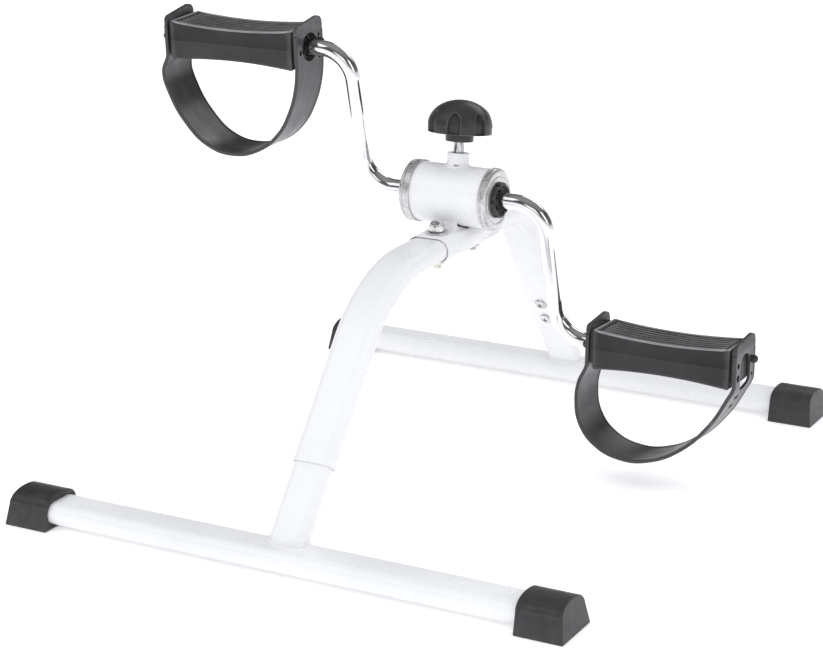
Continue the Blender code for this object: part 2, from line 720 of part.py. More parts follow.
def tension_knob(slide):
    """The moulded knob and the screw fixed in it."""
    axis = tension_axis()
    turn = pivot("knob_pivot", axis @ Vector((0, 0, KNOB_SKIRT_Z)))
    screw_base = HUB_Z + SHOE_OUTER_RADIUS + 2 * GAP
    screw = rod("tension_screw", TENSION_SCREW_RADIUS, screw_base, KNOB_BORE_TOP_Z - GAP, axis, ZINC)
    height = KNOB_TOP_Z - KNOB_WIDEST_Z
    dome = [(KNOB_RADIUS * c, KNOB_WIDEST_Z + height * s) for c, s in arc((0, 0), 1, math.pi / 2, 0, 9)]
    dome[0] = (0, KNOB_TOP_Z)
    lip = KNOB_RADIUS - KNOB_LIP_DRAFT
    lip_inside = lip - KNOB_LIP_WIDTH
    bore = TENSION_SCREW_RADIUS + GAP
    under = [
        (lip, KNOB_SKIRT_Z), (lip_inside, KNOB_SKIRT_Z), (lip_inside - KNOB_WALL_DRAFT, KNOB_RECESS_Z),
        (KNOB_COLLAR_RADIUS, KNOB_RECESS_Z), (KNOB_COLLAR_RADIUS, KNOB_COLLAR_Z), (bore, KNOB_COLLAR_Z),
        (bore, KNOB_BORE_TOP_Z), (0, KNOB_BORE_TOP_Z),
    ]
    knob = turned("tension_knob", dome + under, axis, BLACK_PLASTIC)
    for piece in (screw, knob):
        hang(piece, turn)
    hang(turn, slide)


# ---------------------------------------------------------------- pedals

def pedal_frame(side):
    """Local x outwards, z up, pitched a little; the left pedal is the right one turned about the vertical."""
    shift = Vector((-PEDAL_PLAY, 0, 0))
    return Matrix.Translation(pedal_axis(side) + shift) @ facing(side) @ Matrix.Rotation(PEDAL_PITCH, 4, "X")


def pedal_layout():
    """The x of each layer: the inner cheek's plate, the body's two ends and the outer cheek's plate."""
    half = STRAP_THICKNESS / 2
    inner_plate = STRAP_INNER_X + half + GAP
    body_start = inner_plate + CHEEK_PLATE + GAP
    outer_plate = STRAP_OUTER_X - half - GAP - CHEEK_PLATE
    return inner_plate, body_start, outer_plate - GAP, outer_plate


def tread_outline(start, end):
    """The side view of a pedal body: a block whose top and bottom are hollowed along its length."""
    middle = (start + end) / 2
    half = (end - start) / 2
    top = []
    for i in range(TREAD_STEPS + 1):
        share = 1 - 2 * i / TREAD_STEPS
        height = TREAD_WAIST_HEIGHT + (TREAD_END_HEIGHT - TREAD_WAIST_HEIGHT) * share * share
        top.append((middle + half * share, height))
    return top + [(x, -z) for x, z in reversed(top)]


def pedal_body(name, frame, start, end):
    matrix = frame @ SIDEWAYS
    body = plate(name, [tread_outline(start, end)], TREAD_HALF_WIDTH, matrix, BLACK_PLASTIC)
    bore = rod(name + "_bore", AXLE_BORE_RADIUS, start - GAP, end + GAP, frame @ ALONG_X, None, CUTTERS)
    return smooth(boolean(body, bore))


def cheek(name, frame, plate_start, outwards, axle_hole):
    """An end plate with round top corners. Below its thick head it is thin, where the strap lies flush."""
    y = CHEEK_HALF_WIDTH - CHEEK_CORNER
    z = CHEEK_TOP - CHEEK_CORNER
    loop = arc((y, z), CHEEK_CORNER, 0, math.pi / 2, 4) + arc((-y, z), CHEEK_CORNER, math.pi / 2, math.pi, 4)
    loop += [(-CHEEK_HALF_WIDTH, CHEEK_BOTTOM), (CHEEK_HALF_WIDTH, CHEEK_BOTTOM)]
    loops = [loop]
    if axle_hole:
        loops.append(arc((0, 0), axle_hole, 0, 2 * math.pi * (1 - 1 / FINE_STEPS), FINE_STEPS - 1))
    half = CHEEK_THICKNESS / 2
    recess = CHEEK_THICKNESS - CHEEK_PLATE
    middle = plate_start + (half if outwards > 0 else half - recess)
    made = plate(name, loops, half, frame @ Matrix.Translation((middle, 0, 0)) @ ALONG_X, BLACK_PLASTIC)
    cut_face = middle + outwards * (CHEEK_PLATE - half)
    cut_end = middle + outwards * CHEEK_THICKNESS
    low = (min(cut_face, cut_end), -2 * CHEEK_HALF_WIDTH, 2 * CHEEK_BOTTOM)
    high = (max(cut_face, cut_end), 2 * CHEEK_HALF_WIDTH, STRAP_TOP + GAP)
    return boolean(made, box(name + "_recess", low, high, frame, None, CUTTERS))


def strap_path(loop):
    """The whole middle line: flat on each cheek, then free in the loop between them."""
    leaves = CHEEK_BOTTOM - STRAP_THICKNESS / 2
    return [(STRAP_INNER_X, STRAP_TOP), (STRAP_INNER_X, leaves), *loop,
            (STRAP_OUTER_X, leaves), (STRAP_OUTER_X, STRAP_TOP)]


def strap(name, frame, loop, holes):
    """A wide band hanging in a loop under the pedal, its ends flat on the outsides of the cheeks."""
    curve = bpy.data.curves.new(name, "CURVE")
    curve.dimensions = "3D"
    curve.extrude = STRAP_HALF_WIDTH
    curve.resolution_u = STRAP_STEPS
    spline = curve.splines.new("BEZIER")
    points = strap_path(loop)
    spline.bezier_points.add(len(points) - 1)
    for point, (x, z) in zip(spline.bezier_points, points):
        point.co = (x, z, 0)
        point.handle_left_type = "AUTO"
        point.handle_right_type = "AUTO"
    for flat in (spline.bezier_points[0], spline.bezier_points[-2]):
        flat.handle_right_type = "VECTOR"
    for flat in (spline.bezier_points[1], spline.bezier_points[-1]):
        flat.handle_left_type = "VECTOR"
    band = place(bpy.data.objects.new(name, curve), name, PARTS, None, frame @ SIDEWAYS)
    band = solid_of(band, name, PARTS, STRAP_PLASTIC)
    thickness = band.modifiers.new("thickness", "SOLIDIFY")
    thickness.thickness = STRAP_THICKNESS
    thickness.offset = 0
    for hole in holes:
        boolean(band, hole)
    return smooth(band)


def stud(name, frame, cheek_face, outwards, y):
    """A domed button standing on a cheek, that the strap's hole snaps over."""
    lift = STRAP_THICKNESS + 2 * GAP
    matrix = frame @ Matrix.Translation((cheek_face, y, 0)) @ facing(outwards) @ ALONG_X
    crown = arc((0, 0), 1, math.pi / 2, 0, 4)
    head = [(STUD_HEAD_RADIUS * c, lift + STUD_HEAD_HEIGHT * s) for c, s in crown]
    head[0] = (0, lift + STUD_HEAD_HEIGHT)
    profile = head + [(STUD_POST_RADIUS, lift), (STUD_POST_RADIUS, GAP), (0, GAP)]
    return turned(name, profile, matrix, BLACK_PLASTIC, SMALL_STEPS)


def pedal(side_name, side, loop):
    frame = pedal_frame(side)
    inner_plate, start, end, outer_plate = pedal_layout()
    prefix = "pedal_" + side_name
    spindle = pivot(prefix + "_pivot", pedal_axis(side))
    pieces = [
        pedal_body(prefix + "_body", frame, start, end),
        cheek(prefix + "_inner_cheek", frame, inner_plate, -1, AXLE_BORE_RADIUS),
        cheek(prefix + "_outer_cheek", frame, outer_plate, 1, 0),
        stud(prefix + "_inner_stud", frame, inner_plate, -1, -STUD_OFFSET),
        stud(prefix + "_outer_stud", frame, outer_plate + CHEEK_PLATE, 1, STUD_OFFSET),
    ]
    bore = ROD_RADIUS + RUNNING_GAP
    ring = AXLE_BORE_RADIUS - GAP
    rod_shoulder = ROD_OUTER_X - RETAINER_THICKNESS - PEDAL_PLAY
    bush_ends = {"inner": start + GAP, "outer": rod_shoulder - 2 * GAP - AXLE_BUSH_LENGTH}
    for end_name, low in bush_ends.items():
        high = low + AXLE_BUSH_LENGTH
        bush = turned(f"{prefix}_{end_name}_bush", ((bore, high), (ring, high), (ring, low), (bore, low)),
                      frame @ ALONG_X, NYLON, FINE_STEPS)
        pieces.append(bush)
    reach = STRAP_THICKNESS * 2
    holes = [rod(prefix + "_strap_axle_hole", STRAP_AXLE_HOLE, STRAP_INNER_X - reach, STRAP_INNER_X + reach,
                 frame @ ALONG_X, None, CUTTERS)]
    for hole_name, x, y in (("inner", STRAP_INNER_X, -STUD_OFFSET), ("outer", STRAP_OUTER_X, STUD_OFFSET)):
        holes.append(rod(f"{prefix}_strap_{hole_name}_hole", STUD_POST_RADIUS + GAP, x - reach, x + reach,
                         frame @ Matrix.Translation((0, y, 0)) @ ALONG_X, None, CUTTERS, SMALL_STEPS))
    pieces.append(strap("strap_" + side_name, frame, loop, holes))
    for piece in pieces:
        hang(piece, spindle)


def retainer(side_name, side, crank_pivot):
    """The push-on ring that keeps a pedal on its rod, hidden behind the outer cheek."""
    high = ROD_OUTER_X - GAP
    low = high - RETAINER_THICKNESS
    bore = ROD_RADIUS + GAP
    ring = AXLE_BORE_RADIUS - 2 * GAP
    made = turned(f"pedal_{side_name}_retainer", ((bore, high), (ring, high), (ring, low), (bore, low)),
                  Matrix.Translation(pedal_axis(side)) @ facing(side) @ ALONG_X, STEEL, FINE_STEPS)
    hang(made, crank_pivot)


def build():
    for end, y in (("front", -BAR_Y), ("rear", BAR_Y)):
        floor_bar(end + "_floor_bar", y)
        for side_name, side in SIDES:
            foot_cap(f"foot_cap_{end}_{side_name}", side, y)
    leg("front", FRONT_LEG_FOOT_Y, FRONT_LEG_ANGLE, 1, FRONT_BEND_RADIUS, FRONT_JOINT, -BAR_Y)
    leg("rear", REAR_LEG_FOOT_Y, REAR_LEG_ANGLE, -1, REAR_BEND_RADIUS, REAR_JOINT, BAR_Y)
    saddle_bracket()
    leg_bolt("leg_bolt_front", -1)
    leg_bolt("leg_bolt_rear", 1)
    hub_shell()
    for side_name, side in SIDES:
        hub_cap("hub_cap_" + side_name, side)
        hub_bush("hub_bush_" + side_name, side)
    tension_boss()
    crank_pivot = crank_set()
    tension_knob(brake())
    for (side_name, side), loop in zip(SIDES, (LEFT_STRAP_LOOP, RIGHT_STRAP_LOOP)):
        pedal(side_name, side, loop)
        retainer(side_name, side, crank_pivot)


build()
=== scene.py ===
"""The looks of a pedal exerciser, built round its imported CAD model.

Metres, +Z up, in the CAD model's own frame: +X to the right along the crank axis, +Y to the back, and the
floor at z = 0. Every piece is a mesh in those coordinates with its object at the origin, so textures run on
between pieces.
"""
import json
import math

import bmesh
import bpy
from mathutils import Matrix, Vector


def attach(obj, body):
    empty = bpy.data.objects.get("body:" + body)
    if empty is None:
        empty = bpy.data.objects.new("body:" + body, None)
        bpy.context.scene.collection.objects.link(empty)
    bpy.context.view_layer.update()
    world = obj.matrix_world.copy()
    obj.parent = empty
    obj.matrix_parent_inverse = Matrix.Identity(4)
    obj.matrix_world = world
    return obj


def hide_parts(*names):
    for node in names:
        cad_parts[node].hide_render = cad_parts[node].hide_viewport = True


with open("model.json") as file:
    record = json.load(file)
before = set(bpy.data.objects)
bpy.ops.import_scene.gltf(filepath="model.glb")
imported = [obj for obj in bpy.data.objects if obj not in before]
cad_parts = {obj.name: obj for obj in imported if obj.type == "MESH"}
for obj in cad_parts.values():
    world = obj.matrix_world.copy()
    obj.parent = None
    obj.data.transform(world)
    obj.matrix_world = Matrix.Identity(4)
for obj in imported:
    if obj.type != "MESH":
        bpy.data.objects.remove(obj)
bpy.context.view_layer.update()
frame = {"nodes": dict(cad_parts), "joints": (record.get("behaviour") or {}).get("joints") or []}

JOINTS = {joint["name"]: joint for joint in frame["joints"]}

# Camera
CAMERA_PLACE = Vector((0.73609, -1.35649, 0.59141))
CAMERA_AZIMUTH = math.radians(29.16)
CAMERA_ELEVATION = math.radians(17.61)
CAMERA_ROLL = math.radians(-0.71)
CAMERA_LENS = 105.1

# Sizes the CAD model was drawn with, in metres
GAP = 0.0003
TUBE = (0.029, 0.0145, 0.007)          # width, depth and corner radius of the flat-oval tube
STUB = (0.0262, 0.0117, 0.0056)
WALL = 0.0011
BAR_Z = 0.0099
BAR_Y = 0.204
BAR_HALF_LENGTH = 0.194
HUB = Vector((0, 0.0244, 0.1861))
SHELL_RADIUS = 0.0202
SHELL_HALF_LENGTH = 0.0306
LEG_TOP_Z = 0.1572
BRACKET_HALF_LENGTH = 0.0384
BRACKET = (0.0315, 0.0167, 0.0081)
LEG_BOLT_OFFSET = 0.0254
ROD_RADIUS = 0.0054
HUB_CORNER_X = 0.0672
PEDAL_CORNER_X = 0.0709
CORNER_BEND = 0.022
ROD_INNER_X = 0.002
ROD_OUTER_X = 0.1905
KNOB_X = 0.0010
TENSION_LEAN = math.radians(8.5)
PEDAL_PITCH = math.radians(-2.5)
PEDAL_PLAY = 0.0015
STRAP_INNER_X = 0.1009
STRAP_OUTER_X = 0.2054
STRAP_THICKNESS = 0.0022
STRAP_HALF_WIDTH = 0.017
STRAP_TOP = 0.0102
CHEEK_PLATE = 0.0016
CHEEK_HALF_WIDTH = 0.0165
CHEEK_BOTTOM = -0.0100
STUD_OFFSET = 0.0120
AXLE_BORE_RADIUS = 0.0076

ALONG_X = Matrix(((0, 0, 1), (1, 0, 0), (0, 1, 0))).to_4x4()
ACROSS_BAR = Vector((0, 1, 0))
ACROSS_LEG = Vector((1, 0, 0))
SIDES = (("left", -1), ("right", 1))
ROUND = 96
FULL_TURN = 2 * math.pi


# ---- materials

class Look:
    """A procedural material on the object's own coordinates, and the record's slot that it belongs to."""

    def __init__(self, name, slot, metallic=0.0, **constants):
        self.slot = slot
        self.material = bpy.data.materials.new(name)
        self.material.use_nodes = True
        self.tree = self.material.node_tree
        self.shader = self.tree.nodes["Principled BSDF"]
        for socket, value in {"Metallic": metallic, **constants}.items():
            self.shader.inputs[socket.replace("_", " ")].default_value = value
        self.place = self.tree.nodes.new("ShaderNodeTexCoord").outputs["Object"]

    def plug(self, socket, value):
        """Sets a socket to a value, or links it to another node's output."""
        if isinstance(value, bpy.types.NodeSocket):
            self.tree.links.new(value, socket)
        else:
            socket.default_value = value

    def node(self, kind, settings=None, **inputs):
        made = self.tree.nodes.new("ShaderNode" + kind)
        for name, value in (settings or {}).items():
            setattr(made, name, value)
        for name, value in inputs.items():
            self.plug(made.inputs[name.replace("_", " ")], value)
        return made

    def noise(self, scale, detail=3.0, stretch=(1, 1, 1), roughness=0.55):
        place = self.node("Mapping", Vector=self.place, Scale=stretch).outputs["Vector"]
        made = self.node("TexNoise", Vector=place, Scale=scale, Detail=detail, Roughness=roughness)
        return made.outputs["Fac"]

    def spread(self, value, low, high, start=0.3, end=0.7):
        """Maps a texture's value onto a range."""
        made = self.node("MapRange", {"clamp": True}, Value=value, From_Min=start, From_Max=end,
                         To_Min=low, To_Max=high)
        return made.outputs["Result"]

    def mix(self, share, first, second):
        made = self.node("Mix", {"data_type": "RGBA"})
        self.plug(made.inputs[0], share)
        for socket, value in zip(made.inputs[6:8], (first, second)):
            self.plug(socket, (*value, 1.0) if isinstance(value, tuple) else value)
        return made.outputs[2]

    def tone(self, texture, dark, light, start=0.3, end=0.7):
        """A texture as a colour between two colours."""
        return self.mix(self.spread(texture, 0.0, 1.0, start, end), dark, light)

    def edges(self, start, end):
        """0 on flat and hollow places, 1 along outer edges."""
        point = self.node("NewGeometry").outputs["Pointiness"]
        return self.spread(point, 0.0, 1.0, start, end)

    def times(self, first, second):
        made = self.node("Math", {"operation": "MULTIPLY"})
        self.plug(made.inputs[0], first)
        self.plug(made.inputs[1], second)
        return made.outputs[0]

    def wire(self, colour, roughness, *bumps):
        """Connects the shader. Each bump is (height, strength, depth in metres)."""
        normal = None
        for height, strength, depth in bumps:
            inputs = {"Height": height, "Strength": strength, "Distance": depth}
            if normal:
                inputs["Normal"] = normal
            normal = self.node("Bump", **inputs).outputs["Normal"]
        for name, value in (("Base Color", colour), ("Roughness", roughness), ("Normal", normal)):
            self.plug(self.shader.inputs[name], value)
        return self


def white_paint():
    look = Look("white_gloss_enamel", "white_paint", Specular_IOR_Level=0.32, Coat_Weight=0.10,
                Coat_Roughness=0.10)
    clean = look.tone(look.noise(9.0, 4.0), (0.775, 0.778, 0.788), (0.835, 0.835, 0.842))
    handled = look.spread(look.noise(60.0, 5.0), 0.0, 0.22, 0.55, 0.85)
    return look.wire(look.mix(handled, clean, (0.70, 0.70, 0.71)),
                     look.spread(look.noise(35.0, 4.0), 0.20, 0.36),
                     (look.noise(420.0, 2.0), 0.10, 0.00015), (look.noise(70.0, 2.0), 0.06, 0.0004))


def plastic(name, slot, dark, light, worn, grain, roughness):
    """Moulded plastic or rubber: a fine grain, cloudy tone, and edges rubbed paler."""
    look = Look(name, slot, Specular_IOR_Level=0.32)
    base = look.tone(look.noise(28.0, 5.0), dark, light)
    rubbed = look.times(look.edges(0.508, 0.57), look.spread(look.noise(160.0, 4.0), 0.45, 1.0))
    scuffs = look.spread(look.noise(45.0, 6.0, (1.0, 6.0, 6.0), 0.7), 0.0, 0.55, 0.60, 0.80)
    return look.wire(look.mix(rubbed, look.mix(scuffs, base, light), worn),
                     look.spread(look.noise(90.0, 4.0), roughness - 0.07, roughness + 0.09),
                     (look.noise(grain), 0.22, 0.00012), (look.noise(120.0), 0.10, 0.0003))


def strap_plastic():
    look = Look("strap_band", "strap_plastic", Specular_IOR_Level=0.55)
    drawn = (1.0, 3.0, 1.0)
    base = look.tone(look.noise(22.0, 4.0, (0.25, 5.0, 0.25)), (0.022, 0.022, 0.024), (0.042, 0.042, 0.044))
    rubbed = look.times(look.edges(0.52, 0.62), 0.6)
    return look.wire(look.mix(rubbed, base, (0.11, 0.11, 0.115)),
                     look.spread(look.noise(40.0, 5.0, drawn), 0.26, 0.42),
                     (look.noise(700.0), 0.15, 0.0001), (look.noise(60.0, 2.0, drawn), 0.12, 0.0006))


def chrome():
    look = Look("bright_chrome", "chrome", 1.0)
    plate = look.tone(look.noise(30.0, 5.0), (0.74, 0.74, 0.76), (0.84, 0.84, 0.85))
    pits = look.spread(look.noise(900.0, 2.0), 0.0, 0.5, 0.66, 0.80)
    return look.wire(look.mix(pits, plate, (0.40, 0.39, 0.38)),
                     look.spread(look.noise(55.0, 6.0), 0.05, 0.14), (look.noise(140.0), 0.05, 0.0002))


def pressed_chrome():
    """The hub's cups: chrome over a pressed surface, a little pitted."""
    look = Look("pressed_chrome", "chrome", 0.72)
    plate = look.tone(look.noise(600.0, 4.0), (0.50, 0.495, 0.49), (0.70, 0.70, 0.71), 0.36, 0.66)
    return look.wire(plate, look.spread(look.noise(300.0, 4.0), 0.26, 0.40),
                     (look.noise(900.0), 0.05, 0.0001), (look.noise(60.0, 2.0), 0.06, 0.0004))


def zinc():
    look = Look("zinc_plate", "zinc", 1.0)
    bright = look.tone(look.noise(260.0, 4.0), (0.55, 0.55, 0.56), (0.76, 0.76, 0.77))
    tarnish = look.spread(look.noise(90.0), 0.0, 0.6, 0.50, 0.75)
    return look.wire(look.mix(tarnish, bright, (0.46, 0.43, 0.38)),
                     look.spread(look.noise(180.0, 4.0), 0.14, 0.34),
                     (look.noise(450.0), 0.15, 0.00015))


def yellow_zinc():
    """The front leg bolt's passivated plating, duller and yellower than the nuts'."""
    look = Look("yellow_zinc", "zinc", 1.0)
    return look.wire(look.tone(look.noise(240.0, 4.0), (0.56, 0.54, 0.46), (0.78, 0.76, 0.68)),
                     look.spread(look.noise(150.0, 4.0), 0.25, 0.45), (look.noise(450.0), 0.2, 0.00015))


def plated_screw():
    """Zinc on a rod: bright, with dark streaks along it that are painted reflections."""
    look = Look("plated_screw", "zinc", 1.0)
    reflection_streaks = look.noise(430.0, 1.0, (1.0, 1.0, 0.02))
    return look.wire(look.tone(reflection_streaks, (0.10, 0.10, 0.10), (0.76, 0.76, 0.77), 0.43, 0.57),
                     look.spread(look.noise(180.0, 4.0), 0.18, 0.32),
                     (reflection_streaks, 0.15, 0.0002), (look.noise(500.0), 0.08, 0.0001))


def machined_steel():
    look = Look("machined_steel", "steel", 1.0)
    lines = look.noise(40.0, 4.0, (30.0, 1.0, 1.0))
    return look.wire(look.tone(lines, (0.36, 0.36, 0.37), (0.56, 0.56, 0.57)),
                     look.spread(lines, 0.22, 0.42), (lines, 0.2, 0.0001))


def felt():
    look = Look("friction_felt", "brake_felt", Sheen_Weight=0.4)
    fibre = look.noise(500.0, 6.0, (1.0, 2.5, 1.0), 0.7)
    return look.wire(look.tone(fibre, (0.22, 0.19, 0.16), (0.42, 0.38, 0.31)),
                     look.spread(fibre, 0.85, 1.0), (fibre, 0.6, 0.0003))


PAINT = white_paint()
MOULDED = plastic("moulded_black", "black_plastic", (0.016, 0.016, 0.017), (0.030, 0.030, 0.031),
                  (0.095, 0.095, 0.098), 900.0, 0.42)
KNOB_PLASTIC = plastic("knob_black", "black_plastic", (0.026, 0.026, 0.027), (0.042, 0.042, 0.043),
                       (0.12, 0.12, 0.122), 1100.0, 0.34)
# The upper treads' bead: paler than the body's plastic, a painted highlight along its edge.
RIM_HIGHLIGHT_PLASTIC = plastic("rim_painted_highlight", "black_plastic", (0.10, 0.10, 0.104), (0.24, 0.24, 0.245),
                      (0.34, 0.34, 0.345), 900.0, 0.24)
TREAD_RUBBER = plastic("tread_rubber", "black_rubber", (0.014, 0.014, 0.015), (0.052, 0.052, 0.053),
                       (0.17, 0.17, 0.172), 650.0, 0.38)
RUBBER = plastic("cap_rubber", "black_rubber", (0.013, 0.013, 0.014), (0.025, 0.025, 0.026),
                 (0.08, 0.08, 0.082), 650.0, 0.38)
STRAP = strap_plastic()
CHROME = chrome()
CUP_CHROME = pressed_chrome()
ZINC = zinc()
YELLOW_ZINC = yellow_zinc()
SCREW_ZINC = plated_screw()
STEEL = machined_steel()
FELT = felt()


# ---- mesh tools

def piece(name, rings, look=None, body=None, replaces=(), closed=False, sharp=40):
    """Joins rings of points into a surface, a loop if closed or else capped. With no look it's bare."""
    count = len(rings[0])
    verts = [tuple(point) for ring in rings for point in ring]
    faces = []
    for i in range(len(rings) if closed else len(rings) - 1):
        here = i * count
        there = (i + 1) % len(rings) * count
        for k in range(count):
            after = (k + 1) % count
            faces.append((here + k, here + after, there + after, there + k))
    if not closed:
        last = (len(rings) - 1) * count
        faces += [tuple(range(count)), tuple(range(last, last + count))]
    mesh = bpy.data.meshes.new(name)
    mesh.from_pydata(verts, [], faces)
    shape = bmesh.new()
    shape.from_mesh(mesh)
    bmesh.ops.remove_doubles(shape, verts=shape.verts, dist=1e-6)
    bmesh.ops.dissolve_degenerate(shape, edges=shape.edges, dist=1e-7)
    bmesh.ops.recalc_face_normals(shape, faces=shape.faces)
    shape.to_mesh(mesh)
    shape.free()
    obj = bpy.data.objects.new(name, mesh)
    bpy.context.scene.collection.objects.link(obj)
    return finished(obj, look, body, replaces, sharp) if look else obj


def finished(obj, look, body, replaces=(), sharp=40):
    """Gives a piece its material, its shading and its place in the model."""
    obj.data.materials.clear()
    obj.data.materials.append(look.material)
    obj.data.shade_smooth()
    obj.data.set_sharp_from_angle(angle=math.radians(sharp))
    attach(obj, body)
    if replaces:
        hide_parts(*replaces)
    return obj


def cut(obj, *cutters):
    """Cuts pieces out of a mesh for good, and removes the cutters."""
    for cutter in cutters:
        modifier = obj.modifiers.new(cutter.name, "BOOLEAN")
        modifier.operation = "DIFFERENCE"
        modifier.object = cutter
        modifier.solver = "EXACT"
    bpy.context.view_layer.update()
    mesh = bpy.data.meshes.new_from_object(obj.evaluated_get(bpy.context.evaluated_depsgraph_get()))
    obj.modifiers.clear()
    obj.data = mesh
    for cutter in cutters:
        bpy.data.objects.remove(cutter)
    return obj


def softened(obj, width, angle):
    """Rounds the edges of a cut mesh."""
    bevel = obj.modifiers.new("edges", "BEVEL")
    bevel.width = width
    bevel.segments = 3
    bevel.limit_method = "ANGLE"
    bevel.angle_limit = math.radians(angle)
    return obj


def soften(points, radius, steps=3, closed=True):
    """Rounds the corners of an outline. A corner may carry its own radius as a third number."""
    count = len(points)
    rounded = []
    for i, point in enumerate(points):
        corner = Vector(point[:2])
        own = point[2] if len(point) > 2 else radius
        if (not closed and i in (0, count - 1)) or own == 0:
            rounded.append(tuple(corner))
            continue
        back = Vector(points[i - 1][:2]) - corner
        ahead = Vector(points[(i + 1) % count][:2]) - corner
        reach = min(own, 0.48 * back.length, 0.48 * ahead.length)
        start = corner + back.normalized() * reach
        end = corner + ahead.normalized() * reach
        for t in evenly(0, 1, steps):
            rounded.append(tuple((1 - t) ** 2 * start + 2 * t * (1 - t) * corner + t * t * end))
    return rounded


def evenly(low, high, steps):
    return [low + (high - low) * k / steps for k in range(steps + 1)]


def arc(centre, radius, start, end, steps):
    return [(centre[0] + radius * math.cos(a), centre[1] + radius * math.sin(a))
            for a in evenly(start, end, steps)]


def dome(radius, base, height, steps):
    """The profile of a dome, from its pole down to its widest place."""
    quarter = arc((0, 0), 1, math.pi / 2, 0, steps)[1:]
    return [(0, base + height)] + [(radius * across, base + height * up) for across, up in quarter]


def oval(width, depth, corner, steps=8):
    """A rectangle about the origin with round corners."""
    x = width / 2 - corner
    y = depth / 2 - corner
    points = []
    for turn, centre in enumerate(((x, y), (-x, y), (-x, -y), (x, -y))):
        points += arc(centre, corner, turn * math.pi / 2, (turn + 1) * math.pi / 2, steps)
    return points


def shrunk(section, amount):
    """The section of a flat-oval tube, smaller by an amount all round."""
    width, depth, corner = section
    return (width - 2 * amount, depth - 2 * amount, corner - amount)


def turned(profile, matrix, shape=None, steps=ROUND):
    """Rings of a profile of (radius, height) turned about an axis. A shape may change each radius."""
    rings = []
    for radius, height in profile:
        ring = []
        for k in range(steps):
            angle = FULL_TURN * k / steps
            r = shape(radius, height, angle) if shape and radius > 0 else radius
            ring.append(matrix @ Vector((r * math.cos(angle), r * math.sin(angle), height)))
        rings.append(ring)
    return rings


def rod(radius, start, end, matrix, steps=ROUND):
    """A plain round cutter along its matrix's own z."""
    return piece("rod", turned([(0, start), (radius, start), (radius, end), (0, end)], matrix, steps=steps))


def prism(matrix, outline, lengths):
    """Rings of one outline of (y, z) at each of the given places along x."""
    return [[matrix @ Vector((x, y, z)) for y, z in outline] for x in lengths]


def facing(side):
    """A half turn about the vertical for -1, and none for +1."""
    return Matrix.Rotation(0 if side > 0 else math.pi, 4, "Z")


def swept(path, side, sections):
    """Rings of sections (u along side, v across it) along a path that lies in one plane."""
    rings = []
    last = len(path) - 1
    for i, (point, section) in enumerate(zip(path, sections)):
        tangent = (path[min(i + 1, last)] - path[max(i - 1, 0)]).normalized()
        across = side.cross(tangent)
        rings.append([point + side * u + across * v for u, v in section])
    return rings


def bent(points, radii, steps=14):
    """A path through corner points, each inner corner rounded to its radius."""
    path = [Vector(points[0])]
    for i, radius in enumerate(radii, 1):
        corner = Vector(points[i])
        back = (Vector(points[i - 1]) - corner).normalized()
        ahead = (Vector(points[i + 1]) - corner).normalized()
        half = back.angle(ahead) / 2
        centre = corner + (back + ahead).normalized() * radius / math.sin(half)
        start = corner + back * radius / math.tan(half) - centre
        end = corner + ahead * radius / math.tan(half) - centre
        sweep = start.angle(end)
        for share in evenly(0, 1, steps):
            spread = math.sin((1 - share) * sweep) * start + math.sin(share * sweep) * end
            path.append(centre + spread / math.sin(sweep))
    path.append(Vector(points[-1]))
    return path


def bead(name, path, look, body, radius, ripples=0):
    """A weld bead round a closed path, rippled along its length."""
    count = len(path)
    middle = sum(path, Vector()) / count
    rings = []
    for i, point in enumerate(path):
        tangent = (path[(i + 1) % count] - path[i - 1]).normalized()
        outward = point - middle
        outward = (outward - tangent * outward.dot(tangent)).normalized()
        across = tangent.cross(outward)
        swell = radius * (1 + 0.13 * math.sin(ripples * FULL_TURN * i / count))
        rings.append([point + (outward * math.cos(a) + across * math.sin(a)) * swell
                      for a in (FULL_TURN * k / 12 for k in range(12))])
    return piece(name, rings, look, body, closed=True, sharp=80)


def tube_rings(path, side, outer, inner, lip=0.0003):
    """Rings of a tube with a wall: out along the outer skin, back along the inner one, the ends rounded."""
    last = len(path) - 1
    skin = [oval(*shrunk(outer, lip if i in (0, last) else 0)) for i in range(len(path))]
    bore = [oval(*shrunk(inner, -lip if i in (0, last) else 0)) for i in range(len(path))]
    return swept(path, side, skin) + list(reversed(swept(path, side, bore)))


def with_lips(path, lip=0.0003):
    """The path with an extra point just inside each end, for a rounded lip."""
    first = path[0] + (path[1] - path[0]).normalized() * lip
    final = path[-1] + (path[-2] - path[-1]).normalized() * lip
    return [path[0], first, *path[1:-1], final, path[-1]]


# ---- stance and legs

def floor_bar(name, y):
    path = [Vector((x, y, BAR_Z)) for x in (-BAR_HALF_LENGTH, BAR_HALF_LENGTH)]
    rings = swept(path, ACROSS_BAR, [oval(*TUBE)] * 2)
    piece(name, rings, PAINT, "frame", [name.replace("_tube", "")])


CAP_INNER_X = 0.1675                   # the end that the bar goes into
CAP_REACH = 0.1999                     # at the floor
CAP_END_LEAN = 0.0032                  # how far its end face leans in by the top
CAP_HALF_WIDTH = 0.0190                # at the floor
CAP_SHOULDER = (0.0158, 0.0135)        # half width and height where its sides turn into the arch
CAP_TOP_Z = 0.0223
CAP_ARCH_POWER = 0.9
CAP_PLAY = 0.0005                      # between the bar and the pocket


def cap_outline():
    """A foot cap's section as (y, z): flat below, sides leaning in, and an arch over the top."""
    arch = []
    for turn in evenly(0, math.pi, 24):
        across = abs(math.cos(turn)) ** CAP_ARCH_POWER * CAP_SHOULDER[0]
        rise = abs(math.sin(turn)) ** CAP_ARCH_POWER * (CAP_TOP_Z - CAP_SHOULDER[1])
        arch.append((math.copysign(across, math.cos(turn)), CAP_SHOULDER[1] + rise))
    return [(CAP_HALF_WIDTH, 0.0), *arch, (-CAP_HALF_WIDTH, 0.0)]


